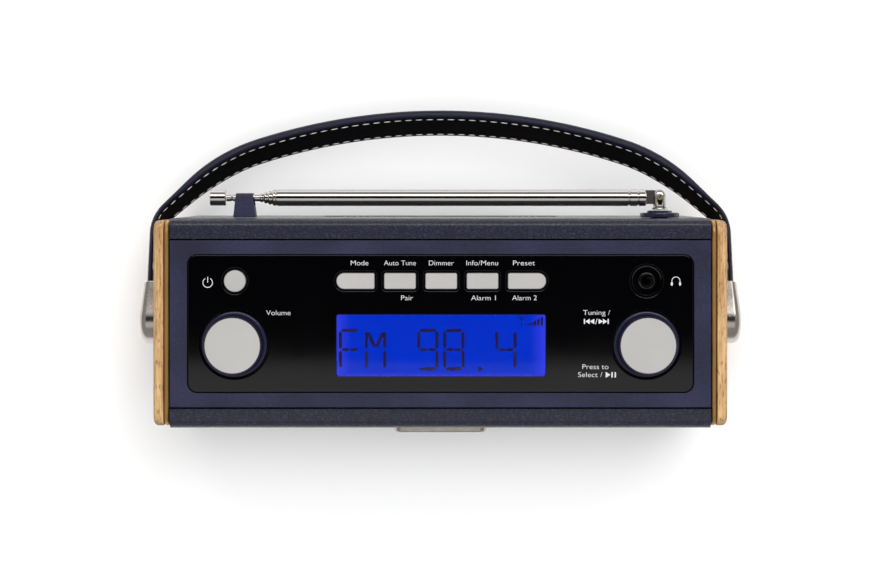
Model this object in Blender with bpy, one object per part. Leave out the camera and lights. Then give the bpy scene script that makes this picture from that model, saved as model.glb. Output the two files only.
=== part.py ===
"""Portable tabletop radio: wood-cheeked cabinet, top control panel, strap handle, telescopic aerial.

Metres, +Z up, front towards -Y. The origin is on the table under the middle of the whole
object's box with the handle folded back, so the cabinet stands a little in front of it.
"""
import math

import bmesh
import bpy
from mathutils import Matrix, Vector

# Cabinet
WIDTH = 0.252
DEPTH = 0.092
HEIGHT = 0.125
CABINET_Y = -0.0228
GAP = 0.0003
FOOT_HEIGHT = 0.0025
FOOT_RADIUS = 0.0075
WALL = 0.005
CORNER = 0.004
CHEEK_THICK = 0.0045
CHEEK_DEPTH = 0.0904
CHEEK_TOP = HEIGHT - 0.0004
CHEEK_CORNER = 0.006
CHEEK_EDGE = 0.0022
TRIM_WIDTH = 0.0022
TRIM_DEEP = 0.0032

# Top panel
FASCIA_TOP = 0.1246
FASCIA_THICK = 0.0031
FASCIA_REAR = 0.0368
FASCIA_FRONT = -0.0371
PANEL_TOP = 0.1241
PANEL_THICK = 0.0022
PANEL_WIDTH = 0.2222
PANEL_DEPTH = 0.0608
PANEL_CORNER = 0.0044
DISPLAY_SIZE = (0.0918, 0.0272)
DISPLAY_CENTRE = (0.0003, -0.0097)
BOARD_TOP = 0.1146
BOARD_THICK = 0.0016

# Controls on the panel
KNOB_X = 0.0903
KNOB_Y = -0.0091
KNOB_FOOT = 0.0145
KNOB_NECK = 0.0127
KNOB_TOP = 0.1346
KNOB_CAP = 0.0121
WELL_CLEAR = 0.0009
ROW_Y = 0.0186
ROW_X = 0.0004
ROW_PITCH = 0.0181
KEY_SIZE = (0.0139, 0.0070)
END_KEY_EXTRA = 0.0028
KEY_TOP = 0.1249
KEY_FOOT = 0.1155
POWER_X = -0.0901
POWER_RADIUS = 0.0048
SOCKET_X = 0.0905
SOCKET_RADIUS = 0.0070
SOCKET_BORE = 0.0018

# Front and rear of the cabinet
GRILLE_HALF = 0.1065
GRILLE_LOW = 0.0125
GRILLE_HIGH = 0.1125
BADGE_SIZE = (0.0412, 0.0042, 0.0085)
BADGE_Z = 0.1030
SPEAKER_X = 0.056
SPEAKER_Z = 0.058
SPEAKER_RADIUS = 0.038
DOOR_HALF = 0.0562
DOOR_LOW = 0.0082
DOOR_HIGH = 0.0448
CELL_RADIUS = 0.00715
CELL_LENGTH = 0.0497
INLET_X = 0.082
INLET_Z = 0.026
INLET_BORE = 0.0031

# Handle: a strap in a plane that turns about the pivots
HANDLE_Z = 0.098
HANDLE_DROOP = math.radians(21.5)
STRAP_LEG_X = 0.1317
STRAP_REACH = 0.0988
STRAP_CROWN = 0.2547
STRAP_CROWN_ANGLE = math.radians(22.3)
STRAP_SHOULDER = 0.058
STRAP_SHOULDER_ANGLE = math.radians(50.0)
STRAP_FLAT = 0.0118
STRAP_START = 0.0048
STRAP_WIDTH = (0.0200, 0.0232)
STRAP_THICK = (0.0021, 0.0042)
BRACKET_IN = 0.1264
BRACKET_OUT = 0.1343
BRACKET_LUG = 0.0104
BRACKET_HALF = 0.0113
BRACKET_REACH = 0.0148
PIVOT_RADIUS = 0.0025

# Aerial
AERIAL_Y = 0.0550
AERIAL_Z = 0.110
AERIAL_X = 0.0974
TILT_Y = 0.0555
TUBE_RADII = (0.0036, 0.00305, 0.0025, 0.00195)
TUBE_CLEAR = 0.00013
ROD_RADIUS = 0.0015
TUBE_RIGHT = 0.0915
TUBE_LEFT = -0.0744
TUBE_STEP = 0.0019
BORE_END = 0.0800
TIP_RADIUS = 0.0034
TIP_SPAN = (-0.1023, -0.0953)
BLADE_HALF = 0.0012
EAR_OUT = 0.0028
CLIP_X = -0.0868


def clear_scene():
    """Starts from nothing."""
    for item in list(bpy.data.objects):
        bpy.data.objects.remove(item, do_unlink=True)


def surface(name, colour, roughness, metallic=0.0, alpha=1.0):
    """One Principled material."""
    made = bpy.data.materials.new(name)
    made.use_nodes = True
    shader = made.node_tree.nodes["Principled BSDF"]
    shader.inputs["Base Color"].default_value = (*colour, 1.0)
    shader.inputs["Roughness"].default_value = roughness
    shader.inputs["Metallic"].default_value = metallic
    shader.inputs["Alpha"].default_value = alpha
    return made


def arc(centre, radius, start, end, steps):
    """Points on an arc, both ends included; angles in degrees."""
    turn = [math.radians(start + (end - start) * i / steps) for i in range(steps + 1)]
    return [(centre[0] + radius * math.cos(a), centre[1] + radius * math.sin(a)) for a in turn]


def rounded(width, height, radius, centre=(0.0, 0.0), steps=4):
    """Rounded rectangle; radius is one value, or four from upper right, anticlockwise."""
    radii = radius if isinstance(radius, tuple) else (radius,) * 4
    points = []
    for index, (sx, sy) in enumerate(((1, 1), (-1, 1), (-1, -1), (1, -1))):
        r = radii[index]
        corner = (centre[0] + sx * (width / 2 - r), centre[1] + sy * (height / 2 - r))
        points += arc(corner, r, 90 * index, 90 * index + 90, steps)
    return points


PLACE = {
    "X": lambda u, v, w: Vector((w, u, v)),
    "Y": lambda u, v, w: Vector((u, w, v)),
    "Z": lambda u, v, w: Vector((u, v, w)),
}


def prism(outline, low, high, axis="Z"):
    """Outline extruded from low to high; its two numbers are the other two axes in order."""
    place = PLACE[axis]
    bm = bmesh.new()
    face = bm.faces.new([bm.verts.new(place(u, v, low)) for u, v in outline])
    grown = bmesh.ops.extrude_face_region(bm, geom=[face])
    moved = [item for item in grown["geom"] if isinstance(item, bmesh.types.BMVert)]
    bmesh.ops.translate(bm, vec=place(0, 0, high - low), verts=moved)
    bmesh.ops.recalc_face_normals(bm, faces=bm.faces)
    return bm


def block(low, high):
    """Plain box between two corners."""
    outline = [(low[0], low[1]), (high[0], low[1]), (high[0], high[1]), (low[0], high[1])]
    return prism(outline, low[2], high[2])


def turned(profile, segments, centre=(0, 0, 0), axis="Z", closed=False):
    """Profile of (radius, height) spun about an axis through centre."""
    bm = bmesh.new()
    verts = [bm.verts.new((r, 0, h)) for r, h in profile]
    pairs = list(zip(verts, verts[1:]))
    if closed:
        pairs.append((verts[-1], verts[0]))
    edges = [bm.edges.new(pair) for pair in pairs]
    bmesh.ops.spin(bm, geom=verts + edges, cent=(0, 0, 0), axis=(0, 0, 1),
                   angle=math.tau, steps=segments, use_merge=True)
    bmesh.ops.remove_doubles(bm, verts=bm.verts, dist=1e-6)
    bmesh.ops.recalc_face_normals(bm, faces=bm.faces)
    turn = {"X": Matrix.Rotation(math.pi / 2, 4, "Y"), "Y": Matrix.Rotation(-math.pi / 2, 4, "X"),
            "Z": Matrix.Identity(4)}[axis]
    bmesh.ops.transform(bm, matrix=Matrix.Translation(centre) @ turn, verts=bm.verts)
    return bm


def rod(radius, low, high, segments=24, centre=(0, 0), axis="Z"):
    """Cylinder from low to high; centre holds the other two axes in order."""
    outline = [(centre[0] + x, centre[1] + y) for x, y in arc((0, 0), radius, 0, 360, segments)[:-1]]
    return prism(outline, low, high, axis)


def add(name, bm, mat, parent, origin=(0, 0, 0), sharp=35.0):
    """One named sub-part whose mesh is given in its parent's frame and whose origin is set."""
    bmesh.ops.translate(bm, vec=-Vector(origin), verts=bm.verts)
    mesh = bpy.data.meshes.new(name)
    bm.to_mesh(mesh)
    bm.free()
    mesh.materials.append(mat)
    mesh.shade_smooth()
    mesh.set_sharp_from_angle(angle=math.radians(sharp))
    made = bpy.data.objects.new(name, mesh)
    bpy.context.collection.objects.link(made)
    made.location = origin
    made.parent = parent
    return made


def combine(target, shapes, operation):
    """Boolean of the target with shapes given in its parent's frame."""
    for shape in shapes:
        mesh = bpy.data.meshes.new("tool")
        shape.to_mesh(mesh)
        shape.free()
        tool = bpy.data.objects.new("tool", mesh)
        bpy.context.collection.objects.link(tool)
        tool.parent = target.parent
        change = target.modifiers.new(operation, "BOOLEAN")
        change.object = tool
        change.operation = operation
        bpy.context.view_layer.update()
        view = bpy.context.evaluated_depsgraph_get()
        result = bpy.data.meshes.new_from_object(target.evaluated_get(view))
        target.modifiers.remove(change)
        target.data = result
        bpy.data.objects.remove(tool)
    return target


def carve(target, *shapes):
    """Cuts the shapes out."""
    return combine(target, shapes, "DIFFERENCE")


def fuse(target, *shapes):
    """Joins overlapping shapes on."""
    return combine(target, shapes, "UNION")


def soften(target, width, segments=2, limit=40.0):
    """Rounds the edges sharper than the limit."""
    bevel = target.modifiers.new("soften", "BEVEL")
    bevel.width = width
    bevel.segments = segments
    bevel.limit_method = "ANGLE"
    bevel.angle_limit = math.radians(limit)
    return target


def empty(name, location, parent=None, tilt=0.0):
    """Joint or frame marker."""
    made = bpy.data.objects.new(name, None)
    bpy.context.collection.objects.link(made)
    made.location = location
    made.rotation_euler = (tilt, 0, 0)
    made.parent = parent
    return made


def side_outline(inset, radius):
    """Cabinet end in (Y, Z), pulled in by inset."""
    height = CHEEK_TOP - FOOT_HEIGHT
    middle = (0, FOOT_HEIGHT + height / 2)
    return rounded(CHEEK_DEPTH - 2 * inset, height - 2 * inset, radius, middle, 4)


def sleeve_section():
    """C-shaped section of the covered sleeve in (Y, Z), open at the top for the fascia."""
    half = DEPTH / 2
    low = FOOT_HEIGHT
    points = [(FASCIA_REAR + GAP, HEIGHT)]
    points += arc((half - CORNER, HEIGHT - CORNER), CORNER, 90, 0, 4)
    points += arc((half - CORNER, low + CORNER), CORNER, 0, -90, 4)
    points += arc((-half + CORNER, low + CORNER), CORNER, -90, -180, 4)
    points += arc((-half + CORNER, HEIGHT - CORNER), CORNER, 180, 90, 4)
    points += [(FASCIA_FRONT - GAP, HEIGHT), (FASCIA_FRONT - GAP, HEIGHT - WALL)]
    points += [(-half + WALL, HEIGHT - WALL), (-half + WALL, low + WALL)]
    points += [(half - WALL, low + WALL), (half - WALL, HEIGHT - WALL)]
    points += [(FASCIA_REAR + GAP, HEIGHT - WALL)]
    return points


def build_cabinet(root, mats):
    """Sleeve, cheeks, metal edging and feet."""
    trim_in = WIDTH / 2 - CHEEK_THICK - GAP - TRIM_WIDTH
    half = trim_in - GAP
    sleeve = add("cabinet_sleeve", prism(sleeve_section(), -half, half, "X"), mats["cover"], root)
    wall = (DEPTH / 2 - WALL - 0.001, DEPTH / 2 + 0.001)
    window = rounded(2 * GRILLE_HALF, GRILLE_HIGH - GRILLE_LOW, 0.003,
                     (0, (GRILLE_LOW + GRILLE_HIGH) / 2), 3)
    hatch = rounded(2 * DOOR_HALF, DOOR_HIGH - DOOR_LOW, (0.001, 0.001, 0.0002, 0.0002),
                    (0, (DOOR_LOW + DOOR_HIGH) / 2), 1)
    carve(sleeve,
          prism(window, -wall[1], -wall[0], "Y"),
          prism(hatch, wall[0], wall[1], "Y"),
          rod(0.0046, wall[0], wall[1], 20, (AERIAL_X, AERIAL_Z), "Y"),
          rod(0.0060, wall[0], wall[1], 20, (INLET_X, INLET_Z), "Y"))
    for side, sign in (("left", -1), ("right", 1)):
        inner, outer = sorted((sign * (WIDTH / 2 - CHEEK_THICK), sign * WIDTH / 2))
        cheek = add(f"{side}_cheek", prism(side_outline(0, CHEEK_CORNER), inner, outer, "X"),
                    mats["wood"], root)
        carve(cheek, rod(PIVOT_RADIUS + GAP, inner - 0.001, outer + 0.001, 20, (0, HANDLE_Z), "X"))
        soften(cheek, CHEEK_EDGE, 2, 60)
        low, high = sorted((sign * trim_in, sign * (trim_in + TRIM_WIDTH)))
        trim = add(f"{side}_trim", prism(side_outline(0, CHEEK_CORNER), low, high, "X"),
                   mats["brass"], root)
        carve(trim, prism(side_outline(TRIM_DEEP, CHEEK_CORNER - TRIM_DEEP + 0.001),
                          low - 0.001, high + 0.001, "X"))
        soften(trim, 0.0007, 1, 60)
    for row, y in (("front", -0.034), ("rear", 0.034)):
        for side, x in (("left", -0.102), ("right", 0.102)):
            profile = [(0, 0), (FOOT_RADIUS - 0.0006, 0), (FOOT_RADIUS, 0.0006),
                       (FOOT_RADIUS, FOOT_HEIGHT - GAP), (0, FOOT_HEIGHT - GAP)]
            add(f"foot_{row}_{side}", turned(profile, 20, (x, y, 0)), mats["rubber"], root)


def key_outline(index, grow=0.0):
    """Outline of one key in the row; the end keys have one fully round end."""
    width, depth = KEY_SIZE
    x = ROW_X + (index - 2) * ROW_PITCH
    tight = 0.0008 + grow
    radii = (tight,) * 4
    if index in (0, 4):
        sign = -1 if index == 0 else 1
        x += sign * END_KEY_EXTRA / 2
        width += END_KEY_EXTRA
        big = depth / 2 + grow - 0.0001
        radii = (tight, big, big, tight) if index == 0 else (big, tight, tight, big)
    return rounded(width + 2 * grow, depth + 2 * grow, radii, (x, ROW_Y), 4)


def build_top(root, mats):
    """Fascia, gloss panel, display and the board under them."""
    trim_in = WIDTH / 2 - CHEEK_THICK - GAP - TRIM_WIDTH
    edge = trim_in - GAP
    outline = [(-edge, FASCIA_FRONT), (edge, FASCIA_FRONT), (edge, FASCIA_REAR), (-edge, FASCIA_REAR)]
    fascia = add("fascia_plate", prism(outline, FASCIA_TOP - FASCIA_THICK, FASCIA_TOP),
                 mats["navy"], root)
    opening = rounded(PANEL_WIDTH, PANEL_DEPTH, PANEL_CORNER, (0.0001, -0.0001), 5)
    carve(fascia, prism(opening, FASCIA_TOP - 0.005, FASCIA_TOP + 0.001))
    soften(fascia, 0.0003, 1)

    face = rounded(PANEL_WIDTH - 2 * GAP, PANEL_DEPTH - 2 * GAP, PANEL_CORNER - GAP,
                   (0.0001, -0.0001), 5)
    low = PANEL_TOP - PANEL_THICK
    panel = add("control_panel", prism(face, low, PANEL_TOP), mats["gloss"], root)
    cuts = [prism(key_outline(i, WELL_CLEAR), low - 0.001, PANEL_TOP + 0.001) for i in range(5)]
    for radius, x, y in ((POWER_RADIUS + 0.0012, POWER_X, ROW_Y),
                         (SOCKET_RADIUS + GAP, SOCKET_X, ROW_Y),
                         (KNOB_FOOT + WELL_CLEAR, -KNOB_X, KNOB_Y),
                         (KNOB_FOOT + WELL_CLEAR, KNOB_X, KNOB_Y)):
        cuts.append(rod(radius, low - 0.001, PANEL_TOP + 0.001, 28, (x, y)))
    glass = rounded(*DISPLAY_SIZE, 0.0009, DISPLAY_CENTRE, 2)
    cuts.append(prism(glass, low - 0.001, PANEL_TOP + 0.001))
    carve(panel, *cuts)

    pane = rounded(DISPLAY_SIZE[0] - 2 * GAP, DISPLAY_SIZE[1] - 2 * GAP, 0.0007, DISPLAY_CENTRE, 2)
    add("display_window", prism(pane, PANEL_TOP - 0.0015, PANEL_TOP - 0.0001), mats["glass"], root)
    module = rounded(DISPLAY_SIZE[0] + 0.006, DISPLAY_SIZE[1] + 0.005, 0.0006, DISPLAY_CENTRE, 1)
    add("lcd_module", prism(module, BOARD_TOP + GAP, low - GAP), mats["lcd"], root)
    board = rounded(0.2160, 0.0580, 0.002, (0, 0), 2)
    add("control_board", prism(board, BOARD_TOP - BOARD_THICK, BOARD_TOP), mats["board"], root)


def knob_profile():
    """Half section of a knob: wide foot, neck and a shallow seat for the metal cap."""
    foot = PANEL_TOP - 0.0008
    seat = KNOB_TOP - 0.0012
    bore_top = KNOB_TOP - 0.0045
    profile = [(0, bore_top), (0.0033, bore_top), (0.0033, foot + 0.0006), (0.0062, foot + 0.0006)]
    profile += [(KNOB_FOOT - 0.0004, foot), (KNOB_FOOT, foot + 0.0004), (KNOB_FOOT, foot + 0.0020)]
    drop = KNOB_FOOT - KNOB_NECK
    for step in range(1, 4):
        bend = math.radians(30 * step)
        profile.append((KNOB_FOOT - drop * math.sin(bend), foot + 0.0020 + drop * (1 - math.cos(bend))))
    profile += [(KNOB_NECK, KNOB_TOP - 0.0003), (KNOB_NECK - 0.0002, KNOB_TOP)]
    profile += [(KNOB_CAP + GAP, KNOB_TOP), (KNOB_CAP + GAP, seat), (0, seat)]
    return profile


def build_knobs(root, mats):
    """Volume and tuning knobs with metal caps, their encoders, and the tuning push shaft."""
    for name, x in (("volume", -KNOB_X), ("tuning", KNOB_X)):
        origin = (x, KNOB_Y, PANEL_TOP)
        add(f"{name}_knob", turned(knob_profile(), 32, (x, KNOB_Y, 0)), mats["navy_gloss"], root, origin)
        cap = [(0, KNOB_TOP - 0.0009), (KNOB_CAP, KNOB_TOP - 0.0009), (KNOB_CAP, KNOB_TOP - 0.0001),
               (KNOB_CAP - 0.0003, KNOB_TOP + 0.0002), (0, KNOB_TOP + 0.0002)]
        add(f"{name}_knob_cap", turned(cap, 32, (x, KNOB_Y, 0)), mats["silver"], root, origin)
        body = add(f"{name}_encoder",
                   prism(rounded(0.0124, 0.0124, 0.0006, (x, KNOB_Y), 1), BOARD_TOP + GAP, 0.1200),
                   mats["steel"], root)
        fuse(body, rod(0.0045, 0.1190, 0.1226, 20, (x, KNOB_Y)))
        if name == "volume":
            fuse(body, rod(0.0029, 0.1220, KNOB_TOP - 0.0050, 16, (x, KNOB_Y)))
        else:
            carve(body, rod(0.0033, 0.1165, 0.1240, 16, (x, KNOB_Y)))
            add("tuning_shaft", rod(0.0029, 0.1178, KNOB_TOP - 0.0050, 16, (x, KNOB_Y)),
                mats["steel"], root, origin)


def build_keys(root, mats):
    """Power button and the row of five keys."""
    stem = 0.1190
    power = [(0, KEY_FOOT), (0.0020, KEY_FOOT), (0.0020, stem), (POWER_RADIUS, stem),
             (POWER_RADIUS, KEY_TOP - 0.0003), (POWER_RADIUS - 0.0003, KEY_TOP), (0, KEY_TOP)]
    add("power_button", turned(power, 28, (POWER_X, ROW_Y, 0)), mats["silver"], root,
        (POWER_X, ROW_Y, KEY_TOP))
    for index, name in enumerate(("mode", "auto_tune", "dimmer", "info", "preset")):
        x = ROW_X + (index - 2) * ROW_PITCH
        key = add(f"{name}_button", prism(key_outline(index), stem, KEY_TOP), mats["silver"], root,
                  (x, ROW_Y, KEY_TOP))
        post = rounded(0.004, 0.004, 0.0005, (x, ROW_Y), 1)
        fuse(key, prism(post, KEY_FOOT, stem + 0.001))


def build_headphone_socket(root, mats):
    """Dished socket with a nut round its mouth."""
    top = PANEL_TOP
    low = BOARD_TOP + GAP
    profile = [(0, 0.1163), (SOCKET_BORE, 0.1163), (SOCKET_BORE, top - 0.0004), (0.0039, top - 0.0004),
               (0.0039, top - 0.0015), (0.0046, top - 0.0018), (SOCKET_RADIUS - 0.0008, top - 0.0008),
               (SOCKET_RADIUS - 0.0006, top - 0.0001), (SOCKET_RADIUS, top - 0.0001),
               (SOCKET_RADIUS, top - 0.0034), (0.0045, top - 0.0034), (0.0045, low), (0, low)]
    add("headphone_socket", turned(profile, 24, (SOCKET_X, ROW_Y, 0)), mats["black"], root)
    nut = [(0.0022, top - 0.0001), (0.0030, top - 0.0001), (0.0030, top + 0.0005), (0.0022, top + 0.0005)]
    add("headphone_nut", turned(nut, 24, (SOCKET_X, ROW_Y, 0), closed=True), mats["dark_metal"], root)


def build_front(root, mats):
    """Grille, blank badge, baffle and two drivers."""
    half = DEPTH / 2
    middle = (GRILLE_LOW + GRILLE_HIGH) / 2
    face = rounded(2 * (GRILLE_HALF - GAP), GRILLE_HIGH - GRILLE_LOW - 2 * GAP, 0.0027, (0, middle), 3)
    grille = add("front_grille", prism(face, -half + 0.0008, -half + 0.0030, "Y"), mats["grille"], root)
    soften(grille, 0.0006, 1)
    width, deep, tall = BADGE_SIZE
    bar = rounded(width, tall, tall / 2 - 0.0005, (0, BADGE_Z), 4)
    badge = add("grille_badge", prism(bar, -half + 0.0005 - deep, -half + 0.0005, "Y"),
                mats["silver"], root)
    soften(badge, 0.0008, 2)
    board = rounded(0.2300, 0.0980, 0.002, (0, 0.0580), 1)
    inner = -half + WALL
    baffle = add("speaker_baffle", prism(board, inner + GAP, inner + 0.0040, "Y"), mats["fibreboard"], root)
    carve(baffle, *[rod(0.0335, inner - 0.002, inner + 0.008, 32, (x, SPEAKER_Z), "Y")
                    for x in (-SPEAKER_X, SPEAKER_X)])
    rear = inner + 0.0040 + GAP
    for side, x in (("left", -SPEAKER_X), ("right", SPEAKER_X)):
        frame = [(0, 0.0135), (0.0110, 0.0135), (0.0320, 0.0006), (0.0330, 0), (SPEAKER_RADIUS, 0),
                 (SPEAKER_RADIUS, 0.0015), (0.0345, 0.0022), (0.0170, 0.0150), (0.0210, 0.0155),
                 (0.0210, 0.0270), (0, 0.0270)]
        add(f"{side}_speaker_basket", turned(frame, 24, (x, rear, SPEAKER_Z), "Y"),
            mats["dark_metal"], root)
        cone = [(0, 0.0050), (0.0055, 0.0040), (0.0090, 0.0062), (0.0280, -0.0012), (0.0300, -0.0026),
                (0.0322, -0.0012), (0.0322, -0.0004), (0.0290, -0.0006), (0.0095, 0.0098), (0, 0.0098)]
        add(f"{side}_speaker_cone", turned(cone, 24, (x, rear, SPEAKER_Z), "Y"), mats["paper"], root)


def build_rear(root, mats):
    """Main board, battery tray with four cells, hatch with its catch, and the power inlet."""
    half = DEPTH / 2
    add("main_board", block((-0.085, 0.0180, 0.0500), (0.070, 0.0196, 0.1080)), mats["board"], root)
    tray_low = (-0.0545, 0.0080, DOOR_LOW + 0.0010)
    tray_high = (0.0545, half - WALL - GAP, DOOR_HIGH - 0.0010)
    tray = add("battery_tray", block(tray_low, tray_high), mats["black"], root)
    inside_low = (-0.0520, 0.0100, tray_low[2] + 0.0016)
    carve(tray, block(inside_low, (0.0520, half, tray_high[2] - 0.0016)))
    middle = (DOOR_LOW + DOOR_HIGH) / 2
    number = 0
    for z in (middle - CELL_RADIUS - GAP, middle + CELL_RADIUS + GAP):
        for x in (-CELL_LENGTH / 2 - 0.0008, CELL_LENGTH / 2 + 0.0008):
            number += 1
            tip = CELL_LENGTH / 2
            profile = [(0, -tip), (CELL_RADIUS, -tip), (CELL_RADIUS, tip - 0.0012),
                       (0.0026, tip - 0.0012), (0.0026, tip), (0, tip)]
            add(f"battery_cell_{number}", turned(profile, 16, (x, 0.0200, z), "X"), mats["cell"], root)
    hinge = (0, half - 0.0010, DOOR_LOW + 0.0010)
    door_face = rounded(2 * (DOOR_HALF - GAP), DOOR_HIGH - DOOR_LOW - 2 * GAP, 0.0008, (0, middle), 1)
    door = add("battery_door", prism(door_face, half - 0.0032, half - 0.0004, "Y"),
               mats["navy"], root, hinge)
    notch_low = (-0.0085, half - 0.0050, DOOR_HIGH - 0.0080)
    carve(door, block(notch_low, (0.0085, half + 0.001, DOOR_HIGH + 0.001)))
    catch = add("door_catch", block((-0.0080, half - 0.0030, DOOR_HIGH - 0.0050),
                                    (0.0080, half - 0.0002, DOOR_HIGH - 0.0006)),
                mats["navy"], root, (0, half - 0.001, DOOR_HIGH - 0.003))
    soften(catch, 0.0003, 1)
    barrel = [(0, -0.0120), (0.0055, -0.0120), (0.0055, -0.0002), (INLET_BORE, -0.0002),
              (INLET_BORE, -0.0095), (0.0009, -0.0095), (0.0009, -0.0015), (0, -0.0015)]
    add("dc_inlet", turned(barrel, 20, (INLET_X, half, INLET_Z), "Y"), mats["black"], root)


def strap_path():
    """Stations down one side of the strap's outer line: (x, reach, angle of the outward normal)."""
    stations = []
    centre = (0.0, STRAP_REACH - STRAP_CROWN)
    for step in range(7):
        a = STRAP_CROWN_ANGLE * step / 6
        stations.append((centre[0] + STRAP_CROWN * math.sin(a), centre[1] + STRAP_CROWN * math.cos(a), a))
    lead = STRAP_CROWN - STRAP_SHOULDER
    centre = (lead * math.sin(STRAP_CROWN_ANGLE), centre[1] + lead * math.cos(STRAP_CROWN_ANGLE))
    for step in range(1, 5):
        a = STRAP_CROWN_ANGLE + (STRAP_SHOULDER_ANGLE - STRAP_CROWN_ANGLE) * step / 4
        stations.append((centre[0] + STRAP_SHOULDER * math.sin(a),
                         centre[1] + STRAP_SHOULDER * math.cos(a), a))
    x, reach, a = stations[-1]
    x += STRAP_FLAT * math.cos(a)
    reach -= STRAP_FLAT * math.sin(a)
    stations.append((x, reach, a))
    radius = (STRAP_LEG_X - x) / (1 - math.sin(a))
    centre = (STRAP_LEG_X - radius, reach - radius * math.cos(a))
    for step in range(1, 6):
        b = a + (math.pi / 2 - a) * step / 5
        stations.append((centre[0] + radius * math.sin(b), centre[1] + radius * math.cos(b), b))
    legs = (0.026, BRACKET_REACH + 0.002, STRAP_START)
    return stations + [(STRAP_LEG_X, reach, math.pi / 2) for reach in legs]


def blend(pair, share):
    """Value between a pair, eased."""
    eased = share * share * (3 - 2 * share)
    return pair[0] + (pair[1] - pair[0]) * eased


def strap_mesh():
    """Strap lofted along its path: flat inside face, outer face with softened edges."""
    side = strap_path()
    path = [(-x, r, -a) for x, r, a in reversed(side)] + side[1:]
    bm = bmesh.new()
    rings = []
    for x, reach, angle in path:
        share = min(1.0, max(0.0, (reach - 0.048) / 0.030))
        half = blend(STRAP_WIDTH, share) / 2
        thick = blend(STRAP_THICK, share)
        section = [(-half, thick), (half, thick), (half, thick * 0.45), (half - 0.0022, 0),
                   (-half + 0.0022, 0), (-half, thick * 0.45)]
        ring = []
        for across, depth in section:
            ring.append(bm.verts.new((x - depth * math.sin(angle), reach - depth * math.cos(angle), across)))
        rings.append(ring)
    for one, two in zip(rings, rings[1:]):
        for i in range(6):
            j = (i + 1) % 6
            bm.faces.new((one[i], one[j], two[j], two[i]))
    bm.faces.new(rings[0])
    bm.faces.new(rings[-1])
    bmesh.ops.recalc_face_normals(bm, faces=bm.faces)
    return bm


def build_handle(root, mats):
    """Strap, two metal brackets that hold its ends, and the pivot screws in the cheeks."""
    pivot = empty("handle_pivot", (0, 0, HANDLE_Z), root, -HANDLE_DROOP)
    add("handle_strap", strap_mesh(), mats["leather"], pivot)
    outline = arc((0, 0), BRACKET_LUG, -90, -270, 10)
    outline += [(0.0050, BRACKET_HALF), (BRACKET_REACH, BRACKET_HALF),
                (BRACKET_REACH, -BRACKET_HALF), (0.0050, -BRACKET_HALF)]
    slot_in = STRAP_LEG_X - STRAP_THICK[0] - GAP
    slot_out = STRAP_LEG_X + GAP
    for side, sign in (("left", -1), ("right", 1)):
        low, high = sorted((sign * BRACKET_IN, sign * BRACKET_OUT))
        bracket = add(f"{side}_bracket", prism(outline, low, high, "X"), mats["chrome"], pivot)
        inner, outer = sorted((sign * slot_in, sign * slot_out))
        half = STRAP_WIDTH[0] / 2 + GAP
        carve(bracket,
              block((inner, STRAP_START - GAP, -half), (outer, BRACKET_REACH + 0.001, half)))
        hole_low, hole_high = sorted((sign * (BRACKET_IN - 0.001), sign * 0.1288))
        carve(bracket, rod(PIVOT_RADIUS + GAP, hole_low, hole_high, 20, (0, 0), "X"))
        soften(bracket, 0.0011, 2, 55)
        screw = [(0, 0.1178), (0.0048, 0.1178), (0.0048, 0.1209), (PIVOT_RADIUS, 0.1209),
                 (PIVOT_RADIUS, 0.1284), (0, 0.1284)]
        profile = [(r, sign * x) for r, x in screw]
        add(f"{side}_pivot_screw", turned(profile, 20, (0, 0, HANDLE_Z), "X"), mats["steel"], root,
            (0, 0, HANDLE_Z))


def tube(radius, bore, low, high, segments=20):
    """Straight tube along X on the aerial's axis."""
    profile = [(radius, low), (radius, high), (bore, high), (bore, low)]
    return turned(profile, segments, (0, AERIAL_Y, AERIAL_Z), "X", closed=True)


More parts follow.
